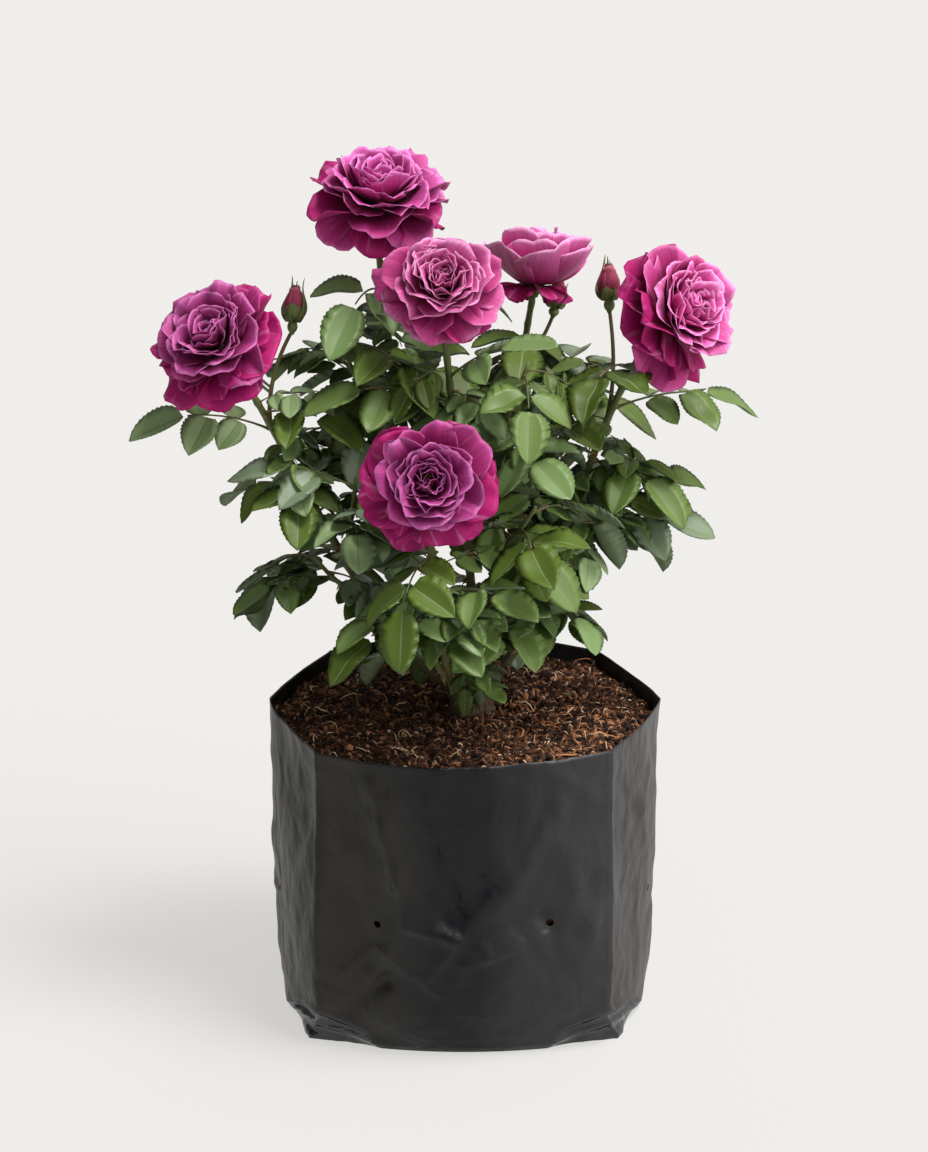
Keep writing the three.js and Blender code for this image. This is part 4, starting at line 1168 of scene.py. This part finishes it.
def petal(azimuth, length, width, tilt, root, cup, roll, ruffle, twist, dice):
    """One petal's inner surface about an axis on Z: a grid of points, claw first."""
    rolled = roll * np.clip((fine - 0.66) / 0.34, 0, 1) ** 2
    angle, out, up = spine(tilt[0] + (tilt[1] - tilt[0]) * fine**1.2 + rolled, length, root)
    shoulder, heart = dice.uniform(0.22, 0.46), dice.uniform(-0.04, 0.07)
    lobes = 0.022 * np.sin(dice.uniform(4, 8) * u_grid + dice.uniform(0, 6))
    v = v_grid * (1 - shoulder * np.abs(u_grid) ** 2.5 - heart * hump(u_grid, 0.25) + lobes)
    half = width / 2 * (0.24 + 0.76 * np.sin(np.pi / 2 * np.clip(v * 1.3, 0, 1)) ** 0.9)
    swing = u_grid * half / cup
    tilt_here = np.interp(v, fine, angle)
    beat = dice.uniform(2.6, 5.6)
    waves = np.sin(beat * u_grid + dice.uniform(0, 6))
    waves += 0.5 * np.sin(2.3 * beat * u_grid + dice.uniform(0, 6))
    inward = cup * (1 - np.cos(swing)) + ruffle * width * 2 * v**2.2 * waves
    inward += 0.03 * width * np.sin(5 * v + dice.uniform(0, 6)) * u_grid
    inward += math.tan(twist) * half * u_grid * v
    sideways = cup * np.sin(swing)
    reach = np.interp(v, fine, out) - np.cos(tilt_here) * inward
    rise = np.interp(v, fine, up) + np.sin(tilt_here) * inward
    c, s = math.cos(azimuth), math.sin(azimuth)
    return np.stack([reach * c - sideways * s, reach * s + sideways * c, rise], -1)


def shell(surface, thickness):
    """A closed thin shell on one grid: the points of both its sides, and its quads."""
    n_rows, n_columns = surface.shape[:2]
    du, dv = np.gradient(surface, axis=1), np.gradient(surface, axis=0)
    normal = unit(np.cross(dv, du))
    edge = np.ones((n_rows, n_columns))
    edge[[0, -1]] = edge[:, [0, -1]] = 0.3
    other = surface - normal * thickness * edge[..., None]
    index = np.arange(n_rows * n_columns).reshape(n_rows, n_columns)
    a, b, c, d = index[:-1, :-1], index[1:, :-1], index[1:, 1:], index[:-1, 1:]
    front = np.stack([a, b, c, d], -1).reshape(-1, 4)
    loop = np.concatenate([index[:, 0], index[-1, 1:], index[-2::-1, -1], index[0, -2:0:-1]])
    after = np.roll(loop, -1)
    size = n_rows * n_columns
    border = np.stack([after, loop, loop + size, after + size], 1)
    faces = np.concatenate([front, front[:, ::-1] + size, border])
    return np.concatenate([surface.reshape(-1, 3), other.reshape(-1, 3)]), faces


def stand_of(facing):
    """The turn that stands an upright axis along another."""
    return np.array(Vector((0, 0, 1)).rotation_difference(Vector(facing)).to_matrix())


def petal_patterns(tint):
    def shaded(red, green, blue):
        return tuple(min(1, level * own) for level, own in zip((red, green, blue), tint))

    def patterns(start):
        """R is the way from claw to rim, G the way across, B the tone, and alpha the petal's luck."""
        spot = start.make("Attribute", attribute_name="petal")
        luck = start.make("Attribute", output=3, attribute_name="petal")
        forward, across, tone = (start.make("SeparateColor", {0: spot}, k) for k in range(3))

        def lines(wide, tall, shift, detail):
            place = start.make("CombineXYZ", {0: across * wide, 1: forward * tall, 2: luck * shift})
            return start.make("TexNoise", {"Vector": place, "Scale": 1.0, "Detail": detail})

        veins, streaks = lines(34, 1.6, 40, 2.0), lines(9, 1.2, 60, 3.0)
        # painted shade at the dark claw, deep in the bloom, and a painted highlight on the pale rim, over the
        # petal's own mauve
        inner = forward.ramp(
            (0.10, shaded(0.200, 0.003, 0.050)),
            (0.42, shaded(0.370, 0.026, 0.140)),
            (0.78, shaded(0.530, 0.072, 0.250)),
            (0.93, shaded(0.640, 0.135, 0.350)),
            (0.99, shaded(0.800, 0.320, 0.560)),
        )
        # the guards' dark claw is painted shade too
        guard = forward.ramp(
            (0.10, (0.120, 0.001, 0.028)), (0.50, (0.280, 0.003, 0.080)), (0.95, (0.430, 0.010, 0.150))
        )
        edge = tone + 0.25 * (streaks - 0.5)
        both = edge.level(0.42, 0.82).mix(inner, guard)
        pale = streaks.level(0.57, 0.70, 0.0, 0.6)
        streaked = (pale * tone * forward).mix(both, rgba(0.620, 0.240, 0.450))
        shade = veins.level(0.3, 0.7, 0.32, 0.0)
        return {
            "Base Color": shade.mix(streaked, rgba(0.150, 0.006, 0.060)),
            "Roughness": 0.5 + 0.15 * veins,
            "Normal": veins.bump(0.25, 0.0004),
        }

    return patterns


def petal_colours(tone, luck):
    """The petal attribute of both sides of one shell."""
    whole = np.ones(v_grid.size)
    flat = [v_grid.ravel(), 0.5 + 0.5 * u_grid.ravel(), tone * whole, luck * whole]
    return np.tile(np.stack(flat, 1), (2, 1))


def petal_mesh(name, batches, colours):
    """Joined petals with their attribute, and a map that gives each side a square of its own."""
    data = joined(name, batches)
    attribute = data.attributes.new("petal", "FLOAT_COLOR", "POINT")
    attribute.data.foreach_set("color", np.concatenate(colours).astype(np.float32).ravel())
    n_front = (PETAL_ROWS - 1) * (PETAL_COLUMNS - 1)
    size = PETAL_ROWS * PETAL_COLUMNS
    faces = batches[0][1]
    square = np.stack([0.5 + 0.44 * u_grid, 0.06 + 0.88 * v_grid], -1).reshape(-1, 2)
    corners = np.tile(square, (2, 1))[faces]
    border = corners[2 * n_front :]
    border[:, 2:] = 0.5 + (border[:, 2:] - 0.5) * 1.08
    cell = np.zeros(len(faces))
    cell[n_front : 2 * n_front] = 1
    across = math.ceil(math.sqrt(2 * len(batches)))
    number = 2 * np.arange(len(batches))[:, None] + cell
    corner = np.stack([number % across, number // across], -1)
    spread = (corner[:, :, None] + corners[None]) / across
    data.uv_layers.new(name="OFBake").data.foreach_set("uv", spread.astype(np.float32).ravel())
    return data


for number, (name, shape) in enumerate(BLOOMS.items()):
    facing, width, lift, opened, breadth, bent, hang, arc, dark, tint = shape
    dice = np.random.default_rng(100 + number)
    batches, colours = [], []
    stand = stand_of(facing)
    base = np.array(STEMS[name][-1]) + (0, 0, lift)
    hang = stand.T @ np.array(hang)
    whorls = {"top_left": DOME_WHORLS, "back": CUP_WHORLS}.get(name, WHORLS)
    for ring, (count, length, broad, tilt, root, cup, roll, ruffle, tone) in enumerate(whorls):
        guards = tone > 0.8
        spread = arc if guards else 360
        first = math.atan2(hang[1], hang[0]) if guards else dice.uniform(0, 2 * np.pi)
        loose = 0.7 + 0.12 * ring
        for k in range(count):
            share = (k + 0.5 + 0.5 * (ring % 2) * (spread == 360)) / count - 0.5
            azimuth = first + math.radians(spread) * share + dice.normal(0, 0.5 * loose) / count
            low = -(stand @ np.array([math.cos(azimuth), math.sin(azimuth), 0]))[2]
            bend = np.array(tilt) * (1 if guards else opened) + dice.normal(0, 5.5 * loose)
            if guards:
                hung = bent * (1 - 0.65 * ring) + 26 * max(low, 0) + 16 * min(low, 0)
                bend += np.array([0.6, 1.0]) * hung
            surface = petal(
                azimuth,
                length * width * dice.uniform(0.84, 1.07) * (1 - 0.12 * guards * max(low, 0)),
                broad * breadth * width * dice.uniform(0.85, 1.15),
                bend,
                (root[0] * width, root[1] * width),
                cup * width * dice.uniform(0.8, 1.25),
                roll * dice.uniform(0.3, 1.5),
                ruffle * dice.uniform(0.5, 1.6),
                math.radians(dice.normal(0, 12)),
                dice,
            )
            points, faces = shell(surface, PETAL_THICKNESS)
            batches.append((points @ stand.T + base, faces, 0))
            paler = 0.3 * guards * (dice.uniform() < 0.3)
            own = tone * (dark if guards else 1) + dice.normal(0, 0.08) - paler
            colours.append(petal_colours(min(max(own, 0), 1), dice.uniform()))
    # stamens stand among the innermost petals
    turns = GOLDEN * np.pi / 180 * np.arange(STAMENS)
    away = 0.045 * np.sqrt(np.arange(STAMENS) / STAMENS)
    around = away * np.cos(turns), away * np.sin(turns)
    feet = np.stack([0.4 * around[0], 0.4 * around[1], np.full(STAMENS, 0.07)], 1)
    heads = np.stack([*around, 0.20 + dice.normal(0, 0.012, STAMENS)], 1)
    paths = np.stack([feet + (heads - feet) * t for t in np.linspace(0, 1, 4)], 1) * width
    stalks = paths @ stand.T + base
    ends, before = stalks[:, -1][:, None], stalks[:, -2][:, None]
    anthers = ends + (ends - before) * np.linspace(0, 0.35, 5)[:, None]
    stamens = tubes(stalks, np.full((STAMENS, 4), STAMEN_RADIUS), 4, 0)
    stamens += tubes(anthers, np.tile(ANTHER_RADII, (STAMENS, 1)), 5, 1)
    stamen_finishes = [
        finish("filament", {"Base Color": rgba(0.42, 0.16, 0.13), "Roughness": 0.5}),
        finish("anther", {"Base Color": rgba(0.42, 0.24, 0.06), "Roughness": 0.8}),
    ]
    placed(f"stamens_{name}", joined(f"stamens_{name}", stamens), stamen_finishes)
    looks = {"Specular IOR Level": 0.2, "Sheen Weight": 0.04, "Sheen Roughness": 0.4}
    petal_finish = finish(f"petal_{name}", looks, petal_patterns(tint))
    data = petal_mesh(f"petals_{name}", batches, colours)
    placed(f"petals_{name}", data, [petal_finish], [f"bloom_{name}"])

# Buds: two wrapped, pointed flowers in front and one behind, of six petals wound round each other,
# dark magenta where the light catches them and crimson in the folds.
BUDS = {
    # its stem and the share where it springs, its stalk's bend and end, facing, length and width
    "left": ("left", 0.76, (-0.127, 0.004, 0.425), (-0.109, 0.010, 0.462), (0.1, 0.05, 1), 0.023, 0.013),
    "right": ("right", 0.66, (0.101, 0.012, 0.415), (0.093, 0.024, 0.473), (-0.03, 0.02, 1), 0.023, 0.014),
    "back": ("back", 0.74, (0.052, 0.080, 0.430), (0.060, 0.080, 0.455), (0.2, 0.1, 1), 0.018, 0.014),
}
BUD_PETALS, BUD_PETAL_THICKNESS = 6, 0.0003
BUD_OUTLINE = [0, 0.12, 0.3, 0.5, 0.7, 0.86, 1], [0.42, 0.76, 1, 0.97, 0.70, 0.38, 0.07]
bud_batches, bud_colours = [], []
for number, (*_, end, facing, length, width) in enumerate(BUDS.values()):
    dice = np.random.default_rng(60 + number)
    stand = stand_of(facing)
    for k in range(BUD_PETALS):
        wrapped = 0.35 + 0.65 * np.sin(np.pi * np.clip(v_grid, 0.06, 0.62))
        turn = k * math.radians(GOLDEN) + u_grid * (1.5 - 0.12 * k) * wrapped
        way = v_grid * (1.0 - 0.09 * np.abs(u_grid) ** 2 - 0.03 * k)
        radius = width * 0.5 * np.interp(way, *BUD_OUTLINE) * (1 - 0.035 * k)
        radius += 0.0008 * u_grid * np.sin(np.pi * v_grid)
        radius += 0.0011 * (v_grid > 0.9) * (k < 3)
        surface = np.stack([radius * np.cos(turn), radius * np.sin(turn), way * length * 1.02], -1)
        points, faces = shell(surface, BUD_PETAL_THICKNESS)
        bud_batches.append((points @ stand.T + np.array(end), faces, 0))
        bud_colours.append(petal_colours(dice.uniform(0.1, 0.35), dice.uniform()))
bud_finish = finish(
    "bud_petal", {"Specular IOR Level": 0.35, "Sheen Weight": 0.1}, petal_patterns((0.62, 0.50, 0.34))
)
bud_nodes = [f"bud_{name}" for name in BUDS]
placed("bud_petals", petal_mesh("bud_petals", bud_batches, bud_colours), [bud_finish], bud_nodes)

# Hips, sepals and stalks: each bloom and bud sits on a small green hip at the end of its stalk, with
# five long pointed sepals, bent back under an open bloom and held round a bud.
HIP_SIZES = 0.052, 0.12, 0.27
HIP_HEIGHTS = np.array([-1.15, -1.0, -0.8, -0.55, -0.3, -0.12, 0.02])
HIP_GIRTHS = np.array([0.42, 0.5, 0.86, 1.0, 0.92, 0.74, 0.80])
# tilts from foot to tip, and width
OPEN_SEPALS = [104, 138, 150, 140], 0.0075
CLOSED_SEPALS = [52, 26, -4, -26, -22, -4, 14], 0.0120
BUD_STALK = 0.0015, 0.0012  # its radius at the stem and at the bud
SEPAL_ROWS, SEPAL_COLUMNS, SEPAL_THICKNESS = 15, 5, 0.00035
sepal_v, sepal_u = blade_grid(SEPAL_ROWS, SEPAL_COLUMNS)


def sepal_surface(azimuth, length, width, angles, root, dice):
    """A narrow pointed blade with a long tip, following a list of tilts from its foot to its tip."""
    _, out, up = spine(np.interp(fine, np.linspace(0, 1, len(angles)), angles), length, root)
    half = width / 2 * np.interp(sepal_v, [0, 0.15, 0.3, 0.55, 0.72, 1], [0.8, 1, 0.95, 0.42, 0.16, 0.03])
    turn = azimuth + 0.35 * dice.normal() * sepal_v**2
    reach = np.interp(sepal_v, fine, out)
    curl = reach - 0.25 * half * sepal_u**2
    side = sepal_u * half
    c, s = np.cos(turn), np.sin(turn)
    return np.stack([curl * c - side * s, curl * s + side * c, np.interp(sepal_v, fine, up)], -1)


# where each hip ends, its facing, radius and length, its sepals' length, and its stem if it is a
# bloom's
greens = []
heads = [
    (np.add(STEMS[name][-1], (0, 0, lift)), facing, *(width * size for size in HIP_SIZES), name)
    for name, (facing, width, lift, *_) in BLOOMS.items()
]
heads += [
    (end, facing, width * 0.26, length * 0.34, length * 1.32, None)
    for *_, end, facing, length, width in BUDS.values()
]
for number, (end, facing, radius, drop, sepal, stem) in enumerate(heads):
    dice = np.random.default_rng(80 + number)
    stand, end = stand_of(facing), np.array(end)
    path = np.stack([0 * HIP_HEIGHTS, 0 * HIP_HEIGHTS, HIP_HEIGHTS * drop], 1)
    greens += tubes((path @ stand.T + end)[None], (radius * HIP_GIRTHS)[None], 14, 0)
    angles, width = OPEN_SEPALS if stem else CLOSED_SEPALS
    for k in range(5):
        azimuth = 2 * np.pi * (k + dice.uniform(-0.15, 0.15)) / 5 - 1.5
        tilts = np.array(angles) + dice.normal(0, 9)
        length = sepal * dice.uniform(0.8, 1.05)
        surface = sepal_surface(azimuth, length, width, tilts, (radius * 0.8, -0.1 * drop), dice)
        points, faces = shell(surface, SEPAL_THICKNESS)
        greens.append((points @ stand.T + end, faces, 1))
    if stem:
        stalk = curve(STEMS[stem], np.linspace(STALK_FROM - 0.01, 1, 14))
        foot = end - drop * np.array(unit(np.array(facing)))
        stalk += (foot - stalk[-1]) * (np.linspace(0, 1, 14) ** 2)[:, None]
        greens += tubes(stalk[None], np.linspace(STALK_RADIUS, STALK_RADIUS * 0.9, 14)[None], 12, 0)
for stem, share, bend, end, facing, length, _ in BUDS.values():
    foot = np.array(end) - length * 0.3 * unit(np.array(facing))
    stalk = curve([curve(STEMS[stem], share), bend, foot], np.linspace(0, 1, 24))
    greens += tubes(stalk[None], np.linspace(*BUD_STALK, 24)[None], 12, 2)

hip_stops = (0.35, (0.085, 0.135, 0.030)), (0.7, (0.170, 0.200, 0.060))
sepal_stops = (0.38, (0.080, 0.120, 0.030)), (0.60, (0.130, 0.150, 0.045)), (0.74, (0.150, 0.055, 0.030))
stalk_stops = (0.40, (0.110, 0.110, 0.036)), (0.66, (0.130, 0.060, 0.030))
green_finishes = [
    mottled("hip", 0.4, 0.4, hip_stops, 240, 3),
    mottled("sepal", 0.3, 0.5, sepal_stops, 170, 3),
    mottled("bud_stalk", 0.4, 0.42, stalk_stops, 110, 3, 0.6, (1, 1, 0.4)),
]
placed("hips_and_sepals", joined("hips", greens), green_finishes, flower_nodes)
